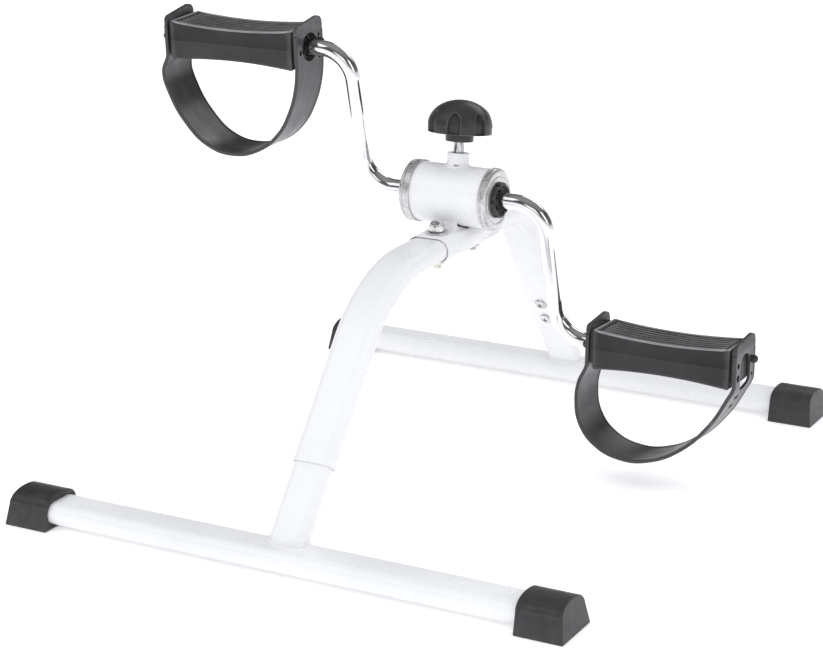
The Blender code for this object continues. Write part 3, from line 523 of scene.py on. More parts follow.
def foot_cap(name, side, y):
    """A moulded cap: arched in section, with a leaning end face and a pocket that the bar sits in."""
    rings = []
    for reach, lean in ((CAP_INNER_X, 0.0), (CAP_REACH, CAP_END_LEAN)):
        lean_back = lean / CAP_TOP_Z
        rings.append([Vector((side * (reach - lean_back * z), y + across, z))
                      for across, z in cap_outline()])
    body = piece(name, rings)
    pocket = oval(TUBE[0] + 2 * CAP_PLAY, TUBE[1] + 2 * CAP_PLAY, TUBE[2] + 0.0004)
    path = [Vector((side * x, y, BAR_Z)) for x in (CAP_INNER_X - 0.01, BAR_HALF_LENGTH + GAP)]
    cut(body, piece("pocket", swept(path, ACROSS_BAR, [pocket, pocket])))
    softened(body, 0.0007, 50)
    finished(body, RUBBER, "frame", [name.replace("_moulded", "")], 50)


def oval_distance(y, z, section):
    """Distance from a flat oval about the origin, negative inside it."""
    width, depth, corner = section
    dy = abs(y) - width / 2 + corner
    dz = abs(z) - depth / 2 + corner
    return math.hypot(max(dy, 0), max(dz, 0)) + min(max(dy, dz), 0) - corner


class Leg:
    """The middle line of a leg: its foot in the bar, its direction, its upper side, its upper tube's end."""

    def __init__(self, end, foot_y, angle, towards, bend, joint, bar_y):
        self.end = end
        self.foot = Vector((0, foot_y, BAR_Z))
        self.along = Vector((0, towards * math.cos(angle), math.sin(angle)))
        self.above = Vector((0, -towards * math.sin(angle), math.cos(angle)))
        self.bend = bend
        self.joint = joint
        self.bar_y = bar_y
        self.end_y = HUB.y - towards * (GAP + 0.003) / 2

    def at(self, distance, u=0.0, v=0.0):
        return self.foot + self.along * distance + Vector((u, 0, 0)) + self.above * v

    def leaves_bar(self, u, v):
        """How far along the leg a line of its skin comes out of the bar."""
        low, high = -0.02, 0.05
        for _ in range(24):
            middle = (low + high) / 2
            point = self.at(middle, u, v)
            if oval_distance(point.y - self.bar_y, point.z - BAR_Z, TUBE) < 0:
                low = middle
            else:
                high = middle
        return high


LEGS = (
    Leg("front", -0.2015, math.radians(50.8), 1, 0.096, 0.0589, -BAR_Y),
    Leg("rear", 0.207, math.radians(57.1), -1, 0.042, 0.0525, BAR_Y),
)
SCREW_ABOVE_JOINT = (("lower", 0.011), ("upper", 0.027))
SCREW_HEAD_RADIUS = 0.0043
SCREW_SHANK_RADIUS = 0.0021
STUB_START = 0.002                     # from the bar's middle line
STUB_INSERTION = 0.045                 # into the leg tube


def leg_pieces(leg):
    stub_path = [leg.at(STUB_START), leg.at(leg.joint + STUB_INSERTION)]
    stub = swept(stub_path, ACROSS_LEG, [oval(*STUB)] * 2)
    piece(leg.end + "_lower_leg", stub, PAINT, "frame", [leg.end + "_leg_stub"])
    weld = [leg.at(leg.leaves_bar(u, v), u, v) for u, v in oval(*shrunk(STUB, -0.0002), 14)]
    bead(leg.end + "_foot_weld", weld, PAINT, "frame", radius=0.0014, ripples=34)
    corner = leg.foot + leg.along * ((LEG_TOP_Z - BAR_Z) / leg.along.z)
    path = with_lips(bent((leg.at(leg.joint), corner, (0, leg.end_y, LEG_TOP_Z)), (leg.bend,), 40))
    tube = tube_rings(path, ACROSS_LEG, TUBE, shrunk(TUBE, WALL))
    piece(leg.end + "_upper_leg", tube, PAINT, "frame", [leg.end + "_leg_tube"], closed=True)
    for where, above_joint in SCREW_ABOVE_JOINT:
        leg_screw(leg, where, leg.joint + above_joint)


def leg_screw(leg, where, distance):
    """A pan-head screw with a cross recess, in the leg's underside."""
    below = -leg.above
    face = leg.at(distance) + below * (TUBE[1] / 2)
    matrix = Matrix((leg.along, leg.along.cross(below), below)).transposed().to_4x4()
    matrix.translation = face
    shank = SCREW_SHANK_RADIUS
    profile = dome(SCREW_HEAD_RADIUS, 0.0006, 0.0020, 10)
    profile += [(SCREW_HEAD_RADIUS, 0.0001), (shank, 0.0), (shank, -0.0050), (0, -0.0055)]
    name = f"{leg.end}_leg_screw_{where}"
    screw = piece(name + "_head", turned(profile, matrix, steps=48))
    slots = []
    for wide, narrow in ((0.0025, 0.0005), (0.0005, 0.0025)):
        outline = [(wide, narrow), (-wide, narrow), (-wide, -narrow), (wide, -narrow)]
        rings = [[matrix @ Vector((x * k, y * k, z)) for x, y in outline]
                 for z, k in ((0.0010, 0.6), (0.0040, 1.1))]
        slots.append(piece("slot", rings))
    finished(cut(screw, *slots), ZINC, "frame", [name])


# ---- bracket, bolts and hub

SLEEVE_CLEARANCE = 0.00055             # round the leg tubes
CRADLE = (0.0080, 0.0135)              # half its length along the hub, and half its depth
CRADLE_FOOT = (                        # height over the tubes' middle, and how much wider it is there
    (0.0062, 0.0030), (0.0078, 0.0016), (0.0092, 0.0007), (0.0110, 0.0002), (0.0150, 0.0),
)


def saddle_bracket():
    """The sleeve over both legs and the cradle that carries the hub, wider where it is welded down."""
    ends = (HUB.y - BRACKET_HALF_LENGTH, HUB.y + BRACKET_HALF_LENGTH)
    path = with_lips([Vector((0, y, LEG_TOP_Z)) for y in ends], 0.0004)
    sleeve = tube_rings(path, ACROSS_LEG, BRACKET, shrunk(TUBE, -SLEEVE_CLEARANCE), 0.00025)
    piece("bracket_sleeve", sleeve, PAINT, "frame", ["saddle_bracket"], closed=True)
    rings = []
    for rise, spread in CRADLE_FOOT:
        half, deep = (size + spread for size in CRADLE)
        outline = soften([(half, deep), (-half, deep), (-half, -deep), (half, -deep)], 0.0030, 6)
        rings.append([Vector((x, HUB.y + y, LEG_TOP_Z + rise)) for x, y in outline])
    cradle = piece("bracket_cradle", rings)
    seat = rod(SHELL_RADIUS - 0.0002, -0.04, 0.04, out_of_hub(1))
    finished(cut(cradle, seat), PAINT, "frame")


def painted_gap_shade():
    """Two thin dark pieces of painted shade: they stand for the shadow in the open gap beside the cradle,
    between the hub and the sleeve.
    """
    upright = [(0.0125, 0.1691), (0.0250, 0.1658), (0.0186, 0.1658), (0.0132, 0.1673)]
    piece("painted_gap_shade_upright", prism(Matrix.Identity(4), upright, (0.0070, 0.0090)), RUBBER, "frame")
    flat = [(0.0075, 0.0252), (0.0102, 0.0256), (0.0132, 0.0197), (0.0075, 0.0190)]
    piece("painted_gap_shade_flat", prism(ALONG_X.inverted(), flat, (0.1654, 0.1658)), RUBBER, "frame")


BOLT_TURN = math.radians(14)
BOLT_FLATS = 0.010
BOLT_ROUND = 0.00570                   # the radius that the hexagon's corners are cut back to
BOLT_CORNER = 0.00577
BOLT_TIP_Z = 0.1414


def hexagonal(radius, height, angle):
    """Turns a circle into a bolt's hexagon."""
    facet = (angle + math.pi / 6) % (math.pi / 3) - math.pi / 6
    return min(radius, BOLT_FLATS / 2 / math.cos(facet), BOLT_ROUND)


def leg_bolt(name, end):
    """A bolt through the sleeve: its hexagonal head below, a washer and a dome nut above."""
    y = HUB.y + end * LEG_BOLT_OFFSET
    axis = Matrix.Translation((0, y, 0)) @ Matrix.Rotation(BOLT_TURN, 4, "Z")
    top = LEG_TOP_Z + BRACKET[1] / 2
    low, high = top + 0.0002, top + 0.0014
    washer = soften([(0.0033, high), (0.0078, high), (0.0078, low), (0.0033, low)], 0.0003, 3)
    piece(name + "_flat_washer", turned(washer, axis), ZINC, "frame", [name + "_washer"], closed=True)
    base = top + 0.0016
    nut = dome(0.0047, base + 0.0042, 0.0034, 12)
    nut += [(0.0052, base + 0.0041), (BOLT_CORNER, base + 0.0034), (BOLT_CORNER, base + 0.0006),
            (0.0053, base), (0.0031, base), (0.0031, base - 0.0030), (0, base - 0.0030)]
    rings = turned(nut, axis, hexagonal)
    piece(name + "_cap_nut", rings, ZINC, "frame", [name + "_dome_nut"], sharp=28)
    bottom = LEG_TOP_Z - BRACKET[1] / 2
    head = [(0, bottom), (0.0050, bottom), (BOLT_CORNER, bottom - 0.0006), (BOLT_CORNER, bottom - 0.0034),
            (0.0050, bottom - 0.0042), (0.0030, bottom - 0.0042), (0.0028, BOLT_TIP_Z + 0.0004),
            (0.0022, BOLT_TIP_Z), (0, BOLT_TIP_Z)]
    # The rear head is given the darker steel look as painted shade; the front head keeps the yellow zinc
    # plating.
    look = YELLOW_ZINC if end < 0 else STEEL
    piece(name + "_head", turned(head, axis, hexagonal), look, "frame", [name], sharp=28)


def out_of_hub(side):
    """The hub's axis as z, pointing out to one side."""
    return Matrix.Translation(HUB) @ facing(side) @ ALONG_X


SHELL_WALL = 0.0016
CUP_SKIRTS = (0.0240, 0.0274)          # how near the hub's middle the left and the right cup reach


def hub_pieces():
    inner = SHELL_RADIUS - SHELL_WALL
    end = SHELL_HALF_LENGTH
    shell = soften([(inner, end), (SHELL_RADIUS, end), (SHELL_RADIUS, -end), (inner, -end)], 0.0006, 4)
    barrel = turned(shell, out_of_hub(1), steps=128)
    piece("hub_barrel", barrel, PAINT, "frame", ["hub_shell"], closed=True)
    for (name, side), skirt in zip(SIDES, CUP_SKIRTS):
        cup = [
            (0.0088, 0.0318, 0), (0.0100, 0.0326, 0.0005), (0.0150, 0.0326, 0.0008),
            (0.0158, 0.0321, 0.0005), (0.0166, 0.0326, 0.0006), (0.0192, 0.0327, 0.0015),
            (0.02105, 0.0312, 0.0012),
            (0.02105, 0.0296, 0.0002), (0.02065, 0.0293, 0.0002), (0.02065, 0.0290, 0.0002),
            (0.02105, 0.0287, 0.0002), (0.02125, skirt + 0.0003, 0.0003), (0.0204, skirt, 0.0002),
            (0.0203, 0.0310, 0.0005), (0.0088, 0.0312, 0),
        ]
        rings = turned(soften(cup, 0.0005, 5), out_of_hub(side), steps=128)
        piece(f"hub_cup_{name}", rings, CUP_CHROME, "frame", ["hub_cap_" + name], closed=True, sharp=60)
        bush_flange(name, side)


def bush_flange(name, side):
    """The black bush the crank turns in: a flange with a deep dish and snap tabs round it."""
    bore = ROD_RADIUS + 0.0004
    profile = soften([(bore, 0.0318), (0.0068, 0.0330), (0.0074, 0.0338), (0.0088, 0.0338),
                      (0.0094, 0.0352), (0.0106, 0.0362), (0.0119, 0.0358), (0.0121, 0.0326),
                      (0.0082, 0.0324), (0.0082, 0.0262), (bore, 0.0262)], 0.0005, 3)

    def tabs(radius, height, angle):
        """Six shallow notches in the rim of the flange."""
        notch = max(0.0, math.cos(6 * angle + 0.9) - 0.55)
        return radius - 0.0022 * notch if radius > 0.0100 and height > 0.0330 else radius

    rings = turned(profile, out_of_hub(side), tabs)
    piece(f"hub_bush_flange_{name}", rings, MOULDED, "frame", ["hub_bush_" + name], closed=True, sharp=50)


def tension_axis():
    """The axis of the boss and the screw, leaning to the back about the hub's own axis."""
    lean = Matrix.Rotation(-TENSION_LEAN, 4, "X")
    return Matrix.Translation(HUB) @ lean @ Matrix.Translation((KNOB_X, 0, -HUB.z))


BOSS_RADIUS = 0.0076
BOSS_BORE = 0.0044
BOSS_TOP_Z = 0.2146


def tension_boss():
    """The threaded boss on the shell, its weld, and the small relief hole at its foot."""
    axis = tension_axis()
    base = HUB.z + SHELL_RADIUS - SHELL_WALL
    bore, radius = BOSS_BORE, BOSS_RADIUS
    profile = soften([(bore, BOSS_TOP_Z), (radius, BOSS_TOP_Z), (radius, base), (bore, base)], 0.0006, 4)
    boss = piece("threaded_boss", turned(profile, axis), closed=True)
    notch = oval(0.0042, 0.0014, 0.00065, 4)
    relief, deeper = ([axis @ Vector((0.0026 + x, y, HUB.z + SHELL_RADIUS + 0.0002 + z)) for x, z in notch]
                      for y in (-0.0050, -0.0120))
    finished(cut(boss, piece("relief", [relief, deeper])), PAINT, "frame", ["tension_boss"])
    path = []
    for x, y in arc((0, 0), BOSS_RADIUS + 0.0002, 0, FULL_TURN, 72)[:-1]:
        path.append(axis @ Vector((x, y, HUB.z + math.sqrt(SHELL_RADIUS ** 2 - y * y))))
    bead("boss_weld", path, PAINT, "frame", radius=0.0009, ripples=18)


# ---- cranks and knob

def pedal_axis(side_name):
    return Vector((0, *JOINTS[f"pedal_{side_name}_spin"]["pos_m"][1:]))


def crank(side_name, side):
    """A bent rod from the hub to the pedal."""
    out = Vector((side, 0, 0))
    at_pedal = pedal_axis(side_name)
    corners = (HUB + out * ROD_INNER_X, HUB + out * HUB_CORNER_X, at_pedal + out * PEDAL_CORNER_X,
               at_pedal + out * ROD_OUTER_X)
    path = bent(corners, (CORNER_BEND, CORNER_BEND), 36)
    plane_side = out.cross(at_pedal - HUB).normalized()
    circle = arc((0, 0), ROD_RADIUS, 0, FULL_TURN, 48)[:-1]
    piece(f"crank_{side_name}_rod", swept(path, plane_side, [circle] * len(path)), CHROME, "crank",
          ["crank_" + side_name])


TENSION_SCREW = (0.0040, 0.2418, 0.2030)  # radius, top and lower end
KNOB_RADIUS = 0.0220
KNOB_TOP_Z = 0.2500
KNOB_WIDEST_Z = 0.2330
KNOB_SKIRT_Z = 0.2281
KNOB_RECESS_Z = 0.2320
KNOB_COLLAR = (0.0095, 0.2221)         # radius and lower end
KNOB_BORE = (0.0043, 0.2300)           # radius and upper end
FLUTES = 7
FLUTE_ANGLE = math.radians(-74.6)
FLUTE_HALF_WIDTH = 0.0046
FLUTE_SHOULDER_Z = 0.2366
FLUTE_TOP_Z = 0.2420
FLUTE_DEPTH = 0.0023


def fluted(radius, height, angle):
    """Arched flutes moulded into the side of the knob."""
    if radius < 0.6 * KNOB_RADIUS or height < KNOB_SKIRT_Z + 0.0002 or height > FLUTE_TOP_Z:
        return radius
    rise = max(0.0, (height - FLUTE_SHOULDER_Z) / (FLUTE_TOP_Z - FLUTE_SHOULDER_Z))
    half = FLUTE_HALF_WIDTH * math.sqrt(max(0.0, 1 - rise * rise))
    step = FULL_TURN / FLUTES
    off = abs((angle - FLUTE_ANGLE + step / 2) % step - step / 2) * radius
    share = min(1.0, max(0.0, (half - off) / 0.0011))
    return radius - FLUTE_DEPTH * share * share * (3 - 2 * share)


def tension_pieces():
    axis = tension_axis()
    radius, top, low = TENSION_SCREW
    screw = soften([(0, top), (radius, top), (radius, low), (0, low)], 0.0004, 3, closed=False)
    piece("tension_spindle", turned(screw, axis, steps=64), SCREW_ZINC, "knob", ["tension_screw"])
    skirt = list(zip(evenly(KNOB_RADIUS - 0.0001, KNOB_RADIUS - 0.0003, 8),
                     evenly(KNOB_WIDEST_Z, KNOB_SKIRT_Z, 8)))
    edge_z = KNOB_SKIRT_Z - 0.0003
    collar, collar_z = KNOB_COLLAR
    bore, bore_z = KNOB_BORE
    under = soften([(KNOB_RADIUS - 0.0006, edge_z, 0), (KNOB_RADIUS - 0.0024, edge_z),
                    (KNOB_RADIUS - 0.0030, KNOB_RECESS_Z), (collar, KNOB_RECESS_Z), (collar, collar_z),
                    (bore, collar_z), (bore, bore_z, 0)], 0.0006, 4, closed=False)
    top = dome(KNOB_RADIUS, KNOB_WIDEST_Z, KNOB_TOP_Z - KNOB_WIDEST_Z, 44)
    profile = [*top, *skirt[1:], *under, (0, bore_z)]
    rings = turned(profile, axis, fluted, 288)
    piece("knob_moulding", rings, KNOB_PLASTIC, "knob", ["tension_knob"], sharp=50)


# ---- pedals

RIBS = 6
RIB_FIELD = 0.0145                     # half width of the ribbed field
RIB_DEPTH = 0.0015
TREAD_HALF_WIDTH = 0.017
TREAD_END_HEIGHT = 0.0130
TREAD_WAIST_HEIGHT = 0.0102
END_RIM = 0.0035

RIGHT_STRAP_LOOP = (
    (0.0955, -0.0240), (0.0939, -0.0370), (0.0975, -0.0535), (0.1085, -0.0660), (0.1270, -0.0726),
    (0.1480, -0.0706), (0.1705, -0.0590), (0.1895, -0.0395), (0.2010, -0.0205),
)
LEFT_STRAP_LOOP = (
    (0.1030, -0.0270), (0.1085, -0.0430), (0.1185, -0.0590), (0.1350, -0.0715), (0.1560, -0.0768),
    (0.1770, -0.0722), (0.1945, -0.0570), (0.2055, -0.0390), (0.2098, -0.0230),
)


def pedal_frame(side_name, side):
    """Local x outwards, z up: the left pedal is the right one turned about the vertical."""
    place = pedal_axis(side_name) + Vector((-PEDAL_PLAY, 0, 0))
    return Matrix.Translation(place) @ facing(side) @ Matrix.Rotation(PEDAL_PITCH, 4, "X")


def tread_height(along, half):
    """Height of a pedal's top, hollowed along its length."""
    share = (along - half) / half
    return TREAD_WAIST_HEIGHT + (TREAD_END_HEIGHT - TREAD_WAIST_HEIGHT) * share * share


def tread_section(height, depth):
    """Half of a pedal body's section as (y, z), from its front seam over its sunken top to its rear seam."""
    half = TREAD_HALF_WIDTH
    rim = 0.0009
    points = [(-half - 0.00025, 0.0), (-half, 0.0006), (-half, height - rim)]
    points += arc((-half + rim, height - rim), rim, math.pi, math.pi / 2, 4)
    points += [(-RIB_FIELD - 0.0004, height), (-RIB_FIELD, height - depth), (RIB_FIELD, height - depth),
               (RIB_FIELD + 0.0004, height)]
    points += arc((half - rim, height - rim), rim, math.pi / 2, 0, 4)
    points += [(half, 0.0006), (half + 0.00025, 0.0)]
    return points


def tread(local, start, end, where, level, body):
    """A ribbed tread sunk in a pedal body, and the bead round it, paler on the upper side as a painted
    highlight.
    """
    half = (end - start) / 2
    inner = END_RIM + 0.0012
    edge = RIB_FIELD - 0.0003
    pitch = 2 * edge / RIBS
    rings = []
    for along in evenly(inner, 2 * half - inner, 24):
        height = tread_height(along, half)
        low = height - RIB_DEPTH
        points = []
        for rib in range(RIBS):
            y = rib * pitch - edge
            points += [(y + 0.05 * pitch, low), (y + 0.20 * pitch, height + 0.0001),
                       (y + 0.62 * pitch, height + 0.0001), (y + 0.80 * pitch, low)]
        points += [(edge, low - 0.0004), (-edge, low - 0.0004)]
        rings.append([local @ Vector((start + along, y, level * z)) for y, z in points])
    piece(f"{body}_{where}_tread", rings, TREAD_RUBBER, body, sharp=30)
    y = TREAD_HALF_WIDTH - 0.0010
    front = evenly(0.0012, 2 * half - 0.0012, 24)
    outline = [(along, -y) for along in front] + [(along, y) for along in reversed(front)]
    path = [local @ Vector((start + along, across, level * (tread_height(along, half) - 0.0001)))
            for along, across in outline]
    # On the upper side the bead takes the paler plastic as a painted highlight; below it stays the body's
    # plastic.
    bead(f"{body}_{where}_rim", path, RIM_HIGHLIGHT_PLASTIC if level > 0 else MOULDED, body, radius=0.0009)


def pedal_body(local, start, end, body):
    """A block hollowed along its length, with a tread above and below and a flash line round it."""
    length = end - start
    inner = END_RIM + 0.0008
    stations = [(0.0, -0.0006, 0.0), (0.0006, 0.0, 0.0), (END_RIM, 0.0, 0.0), (inner, 0.0, 1.0)]
    mirrored = [(length - along, inset, ribbed) for along, inset, ribbed in reversed(stations)]
    between = [(along, 0.0, 1.0) for along in evenly(inner, length - inner, 22)[1:-1]]
    rings = []
    for along, inset, ribbed in stations + between + mirrored:
        upper = tread_section(tread_height(along, length / 2) + inset, RIB_DEPTH * ribbed)
        lower = [(y, -z) for y, z in reversed(upper[1:-1])]
        squeeze = 1 + inset / TREAD_HALF_WIDTH
        rings.append([local @ Vector((start + along, y * squeeze, z)) for y, z in upper + lower])
    bore = rod(AXLE_BORE_RADIUS, start - 0.01, end + 0.01, local @ ALONG_X)
    finished(cut(piece(body + "_block", rings), bore), MOULDED, body, [body + "_body"], 25)
    for where, level in (("upper", 1), ("lower", -1)):
        tread(local, start, end, where, level, body)


def drilled(local, radius, x, y=0.0, z=0.0, reach=0.006, steps=40):
    """A round cutter along the pedal's length."""
    return rod(radius, x - reach, x + reach, local @ Matrix.Translation((0, y, z)) @ ALONG_X, steps)


def slotted(local, radius, x, top, bottom, reach):
    """An upright slot with round ends, cut along the pedal's length."""
    outline = arc((0, top), radius, 0, math.pi, 20) + arc((0, bottom), radius, math.pi, FULL_TURN, 20)
    return piece("slot", prism(local, outline, (x - reach, x + reach)))


CHEEK_INNER_HALF_WIDTH = 0.0148        # of the layer next to the body
CHEEK_INNER_TOP = 0.0125
CHEEK_FRONT_TOP = 0.0160
CHEEK_REAR_TOP = 0.0201
AXLE_CLEARANCE = 0.0094


def box(local, x_range, y_range, z_range):
    """A box-shaped cutter in a pedal's own frame."""
    (y0, y1), (z0, z1) = y_range, z_range
    return piece("box", prism(local, [(y0, z0), (y1, z0), (y1, z1), (y0, z1)], sorted(x_range)))


def cheek(local, where, face, outwards, front, body):
    """An end plate whose head rises to the rear. The strap lies flush under the head on a narrower layer."""
    thick = CHEEK_PLATE + GAP + STRAP_THICKNESS
    low = face - CHEEK_PLATE if outwards > 0 else face + CHEEK_PLATE - thick
    at_front = front * CHEEK_HALF_WIDTH
    outline = soften([(at_front, CHEEK_BOTTOM, 0), (at_front, CHEEK_FRONT_TOP, 0.0034),
                      (-at_front, CHEEK_REAR_TOP, 0.0080), (-at_front, CHEEK_BOTTOM, 0)], 0.001, 10)
    plate = piece(f"{body}_{where}_plate", prism(local, outline, (low, low + thick)))
    outer, inner = (face, face + outwards * 0.01), (face, face - outwards * 0.01)
    wide = 2 * CHEEK_HALF_WIDTH
    cutters = [
        box(local, outer, (-wide, wide), (-wide, STRAP_TOP + 0.0001)),
        box(local, inner, (-wide, wide), (CHEEK_INNER_TOP, wide)),
        box(local, inner, (CHEEK_INNER_HALF_WIDTH, wide), (-wide, wide)),
        box(local, inner, (-wide, -CHEEK_INNER_HALF_WIDTH), (-wide, wide)),
    ]
    if where == "inner":
        cutters.append(drilled(local, AXLE_CLEARANCE, face))
    softened(cut(plate, *cutters), 0.00035, 40)
    finished(plate, MOULDED, body, [f"{body}_{where}_cheek"], 40)


def strap_line(loop):
    """Points of the band's middle line, read from the same curve that the CAD band follows."""
    leaves = CHEEK_BOTTOM - STRAP_THICKNESS / 2
    corners = [(STRAP_INNER_X, STRAP_TOP), (STRAP_INNER_X, leaves), *loop, (STRAP_OUTER_X, leaves),
               (STRAP_OUTER_X, STRAP_TOP)]
    curve = bpy.data.curves.new("strap_line", "CURVE")
    curve.dimensions = "3D"
    curve.resolution_u = 10
    knots = curve.splines.new("BEZIER").bezier_points
    knots.add(len(corners) - 1)
    for point, (x, z) in zip(knots, corners):
        point.co = (x, 0, z)
        point.handle_left_type = "AUTO"
        point.handle_right_type = "AUTO"
    for flat in (knots[0], knots[-2]):
        flat.handle_right_type = "VECTOR"
    for flat in (knots[1], knots[-1]):
        flat.handle_left_type = "VECTOR"
    drawn = bpy.data.objects.new("strap_line", curve)
    bpy.context.scene.collection.objects.link(drawn)
    bpy.context.view_layer.update()
    evaluated = drawn.evaluated_get(bpy.context.evaluated_depsgraph_get())
    points = [vertex.co.copy() for vertex in evaluated.to_mesh().vertices]
    evaluated.to_mesh_clear()
    bpy.data.objects.remove(drawn)
    return points


STUD_RISE = 0.0016
STRAP_AXLE_HOLE = 0.0098
STRAP_END_CORNER = 0.0012
STRAP_SLOT = (0.0086, -0.0006, -0.0080)  # radius, top and bottom of the long hole in the outer end
STRAP_HOLES = (                        # end, place across the band, height and radius
    (STRAP_INNER_X, -STUD_OFFSET, STUD_RISE, 0.0025),
    (STRAP_INNER_X, -STUD_OFFSET, 0.0062, 0.0014),
    (STRAP_INNER_X, -STUD_OFFSET, -0.0088, 0.0013),
    (STRAP_INNER_X, STUD_OFFSET, -0.0020, 0.0018),
    (STRAP_OUTER_X, STUD_OFFSET, STUD_RISE, 0.0025),
    (STRAP_OUTER_X, -STUD_OFFSET, 0.0022, 0.0020),
    (STRAP_OUTER_X, -STUD_OFFSET, -0.0062, 0.0024),
    (STRAP_OUTER_X, STUD_OFFSET, -0.0085, 0.0013),
)
SLOT_STEPS = (-0.0125, -0.0190)        # adjusting slots down the outer limb


def band_section(half_width):
    """The band's section: a thin middle between two beaded rims."""
    thin = STRAP_THICKNESS / 2 - 0.0002
    proud = STRAP_THICKNESS / 2 + 0.00015
    rim = 0.0016
    outer = [(half_width, -proud), (half_width, proud), (half_width - rim, proud),
             (half_width - rim - 0.0005, thin)]
    top = outer[1:] + [(-u, v) for u, v in reversed(outer[1:])]
    whole = top + [(-u, -v) for u, v in top]
    return soften(whole, 0.00045, 3)


def strap(local, side_name, loop):
    """A band in a loop under the pedal, its punched ends lying in the recesses of the cheeks."""
    line = strap_line(loop)
    length = [0.0]
    for before, after in zip(line, line[1:]):
        length.append(length[-1] + (after - before).length)
    corner = STRAP_END_CORNER
    ends = evenly(0, corner, 5)
    path = [line[0].lerp(line[1], distance / length[1]) for distance in ends]
    path += [point for point, at in zip(line, length) if corner < at < length[-1] - corner]
    last = length[-1] - length[-2]
    path += [line[-1].lerp(line[-2], distance / last) for distance in reversed(ends)]
    tucks = [corner - math.sqrt(corner ** 2 - (corner - distance) ** 2) for distance in ends]
    tucks += [0.0] * (len(path) - 2 * len(ends)) + tucks[::-1]
    sections = [band_section(STRAP_HALF_WIDTH - tuck) for tuck in tucks]
    side = local.to_3x3() @ Vector((0, -1, 0))
    band = piece(f"strap_{side_name}_band", swept([local @ point for point in path], side, sections))
    radius, top, bottom = STRAP_SLOT
    holes = [drilled(local, STRAP_AXLE_HOLE, STRAP_INNER_X, reach=0.003),
             slotted(local, radius, STRAP_OUTER_X + 0.002, top, bottom, 0.0055)]
    for end_x, y, z, radius in STRAP_HOLES:
        holes.append(drilled(local, radius, end_x, y, z, 0.0045, 24))
    for rise in SLOT_STEPS:
        low = Matrix.Translation((STRAP_OUTER_X + 0.5 * rise, 0, CHEEK_BOTTOM + rise))
        outline = oval(0.0064, 0.0026, 0.0012, 4)
        holes.append(piece("slit", prism(local @ low, outline, (-0.006, 0.006))))
    finished(cut(band, *holes), STRAP, "pedal_" + side_name, ["strap_" + side_name], 45)


def stud(local, where, face, outwards, body):
    """A round-headed button that the strap snaps over."""
    place = Matrix.Translation((face, outwards * STUD_OFFSET, STUD_RISE))
    lift = STRAP_THICKNESS + 0.0004
    profile = dome(0.0028, lift + 0.0010, 0.0028, 12)
    profile += [(0.0026, lift), (0.0022, lift - 0.0002), (0.0022, 0.0), (0, 0.0)]
    rings = turned(profile, local @ place @ facing(outwards) @ ALONG_X, steps=48)
    piece(f"{body}_{where}_button", rings, MOULDED, body, [f"{body}_{where}_stud"], sharp=50)


def axle_bush(local, start, body):
    """The bush in the end of a pedal body: a ring with a rounded lip and two moulded pockets in its face."""
    bore = ROD_RADIUS + 0.0004
    lip = start - 0.0016
    deep = start + 0.0080
    profile = soften([(0.0073, deep), (bore, deep), (bore, lip), (0.0073, lip)], 0.0006, 4)
    bush = piece(body + "_inner_axle_bush", turned(profile, local @ ALONG_X), closed=True)
    pockets = []
    for turn in (math.pi / 2, -math.pi / 2):
        y, z = 0.0068 * math.cos(turn), 0.0068 * math.sin(turn)
        pockets.append(drilled(local, 0.0020, lip, y, z, 0.0022, 20))
    finished(cut(bush, *pockets), MOULDED, body, [body + "_inner_bush"], 50)


def pedal(side_name, side, loop):
    local = pedal_frame(side_name, side)
    body = "pedal_" + side_name
    inner = STRAP_INNER_X + STRAP_THICKNESS / 2 + GAP
    outer = STRAP_OUTER_X - STRAP_THICKNESS / 2 - GAP
    start = inner + CHEEK_PLATE + GAP
    end = outer - CHEEK_PLATE - GAP
    pedal_body(local, start + 0.0006, end - 0.0006, body)
    faces = (("inner", inner, -1), ("outer", outer, 1))
    for where, face, outwards in faces:
        cheek(local, where, face, outwards, -side, body)
    for where, face, outwards in faces:
        stud(local, where, face, outwards, body)
    axle_bush(local, start, body)
    strap(local, side_name, loop)


# ---- what stays as CAD

def dress_cad():
    """Materials for the inner pieces, whose CAD shapes are right as they are."""
    looks = {"friction_drum": STEEL, "brake_shoe": STEEL, "brake_pad": FELT}
    for side_name, _ in SIDES:
        looks["crank_pin_" + side_name] = STEEL
        looks[f"pedal_{side_name}_retainer"] = STEEL
        looks[f"pedal_{side_name}_outer_bush"] = MOULDED
    for node, look in looks.items():
        data = frame["nodes"][node].data
        data.materials.clear()
        data.materials.append(look.material)


# ---- studio

def studio_floor():
    bpy.ops.mesh.primitive_plane_add(size=12, location=(0, 0, -0.0002))
    floor = bpy.context.object
    floor.name = "studio_floor"
    pale = Look("pale_floor", None, Base_Color=(0.97, 0.97, 0.97, 1), Roughness=0.9, Specular_IOR_Level=0.1,
                Emission_Color=(1, 1, 1, 1), Emission_Strength=0.26)
    floor.data.materials.append(pale.material)


SOFTBOXES = (                          # place, the height it looks at, size and power
    ("key_softbox", (-1.3, -1.2, 1.9), 0.12, (1.5, 1.1), 6),
    ("front_softbox", (0.5, -1.9, 1.0), 0.16, (1.2, 0.8), 3),
    ("side_softbox", (1.9, -0.5, 1.1), 0.12, (0.7, 1.2), 4),
    ("back_softbox", (0.2, 1.9, 1.5), 0.12, (1.6, 0.7), 7),
)


def softbox(name, place, target_z, size, power):
    light = bpy.data.lights.new(name, "AREA")
    light.shape = "RECTANGLE"
    light.size, light.size_y = size
    light.energy = power
    lamp = bpy.data.objects.new(name, light)
    lamp.location = place
    lamp.rotation_euler = (Vector((0, 0, target_z)) - Vector(place)).to_track_quat("-Z", "Y").to_euler()
    bpy.context.scene.collection.objects.link(lamp)


HORIZON = (                            # height in the world as polished metal sees it, and its grey
    (0.0, 0.95), (0.10, 0.90), (0.17, 0.16), (0.60, 0.07), (0.72, 0.20), (1.0, 0.30),
)


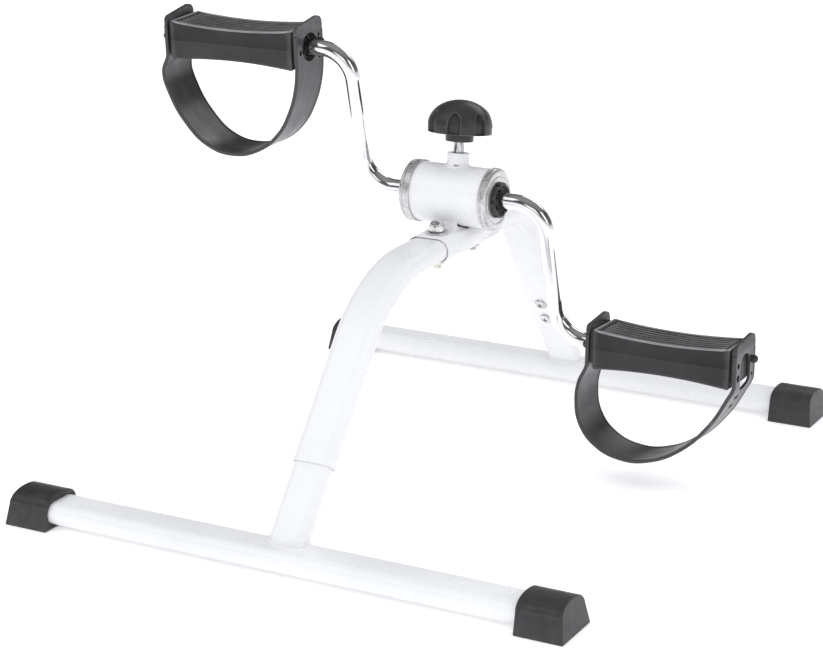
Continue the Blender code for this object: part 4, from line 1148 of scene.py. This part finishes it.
def studio_world():
    """A bright even dome for soft light, which polished metal sees as a dark room with a pale horizon."""
    world = bpy.data.worlds.new("studio")
    bpy.context.scene.world = world
    world.use_nodes = True
    tree = world.node_tree
    add, link = tree.nodes.new, tree.links.new
    background = tree.nodes["Background"]
    direction = add("ShaderNodeTexCoord")
    split = add("ShaderNodeSeparateXYZ")
    link(direction.outputs["Generated"], split.inputs["Vector"])
    ramp = add("ShaderNodeValToRGB")
    link(split.outputs["Z"], ramp.inputs["Fac"])
    stops = ramp.color_ramp.elements
    stops.remove(stops[1])
    for place, grey in HORIZON:
        stop = stops.new(place) if place > 0 else stops[0]
        stop.color = (grey, grey, grey, 1)
    rays = add("ShaderNodeLightPath")
    seen = add("ShaderNodeMix")
    seen.data_type = "RGBA"
    seen.inputs[6].default_value = (0.93, 0.94, 0.97, 1)
    link(rays.outputs["Is Glossy Ray"], seen.inputs[0])
    link(ramp.outputs["Color"], seen.inputs[7])
    link(seen.outputs[2], background.inputs["Color"])


def studio_camera():
    camera = bpy.data.objects.new("camera", bpy.data.cameras.new("camera"))
    camera.data.lens = CAMERA_LENS
    camera.data.sensor_width = 36
    camera.data.clip_start = 0.05
    turned_round = Matrix.Rotation(CAMERA_AZIMUTH, 4, "Z")
    tipped = Matrix.Rotation(math.pi / 2 - CAMERA_ELEVATION, 4, "X")
    rolled = Matrix.Rotation(CAMERA_ROLL, 4, "Z")
    camera.matrix_world = Matrix.Translation(CAMERA_PLACE) @ turned_round @ tipped @ rolled
    bpy.context.scene.collection.objects.link(camera)
    bpy.context.scene.camera = camera


def build():
    for end, y in (("front", -BAR_Y), ("rear", BAR_Y)):
        floor_bar(end + "_floor_bar_tube", y)
        for side_name, side in SIDES:
            foot_cap(f"foot_cap_{end}_{side_name}_moulded", side, y)
    for leg in LEGS:
        leg_pieces(leg)
    saddle_bracket()
    painted_gap_shade()
    leg_bolt("leg_bolt_front", -1)
    leg_bolt("leg_bolt_rear", 1)
    hub_pieces()
    tension_boss()
    tension_pieces()
    for (side_name, side), loop in zip(SIDES, (LEFT_STRAP_LOOP, RIGHT_STRAP_LOOP)):
        crank(side_name, side)
        pedal(side_name, side, loop)
    dress_cad()
    studio_floor()
    studio_world()
    for lamp in SOFTBOXES:
        softbox(*lamp)
    studio_camera()
    bpy.context.scene.view_settings.view_transform = "Standard"


build()
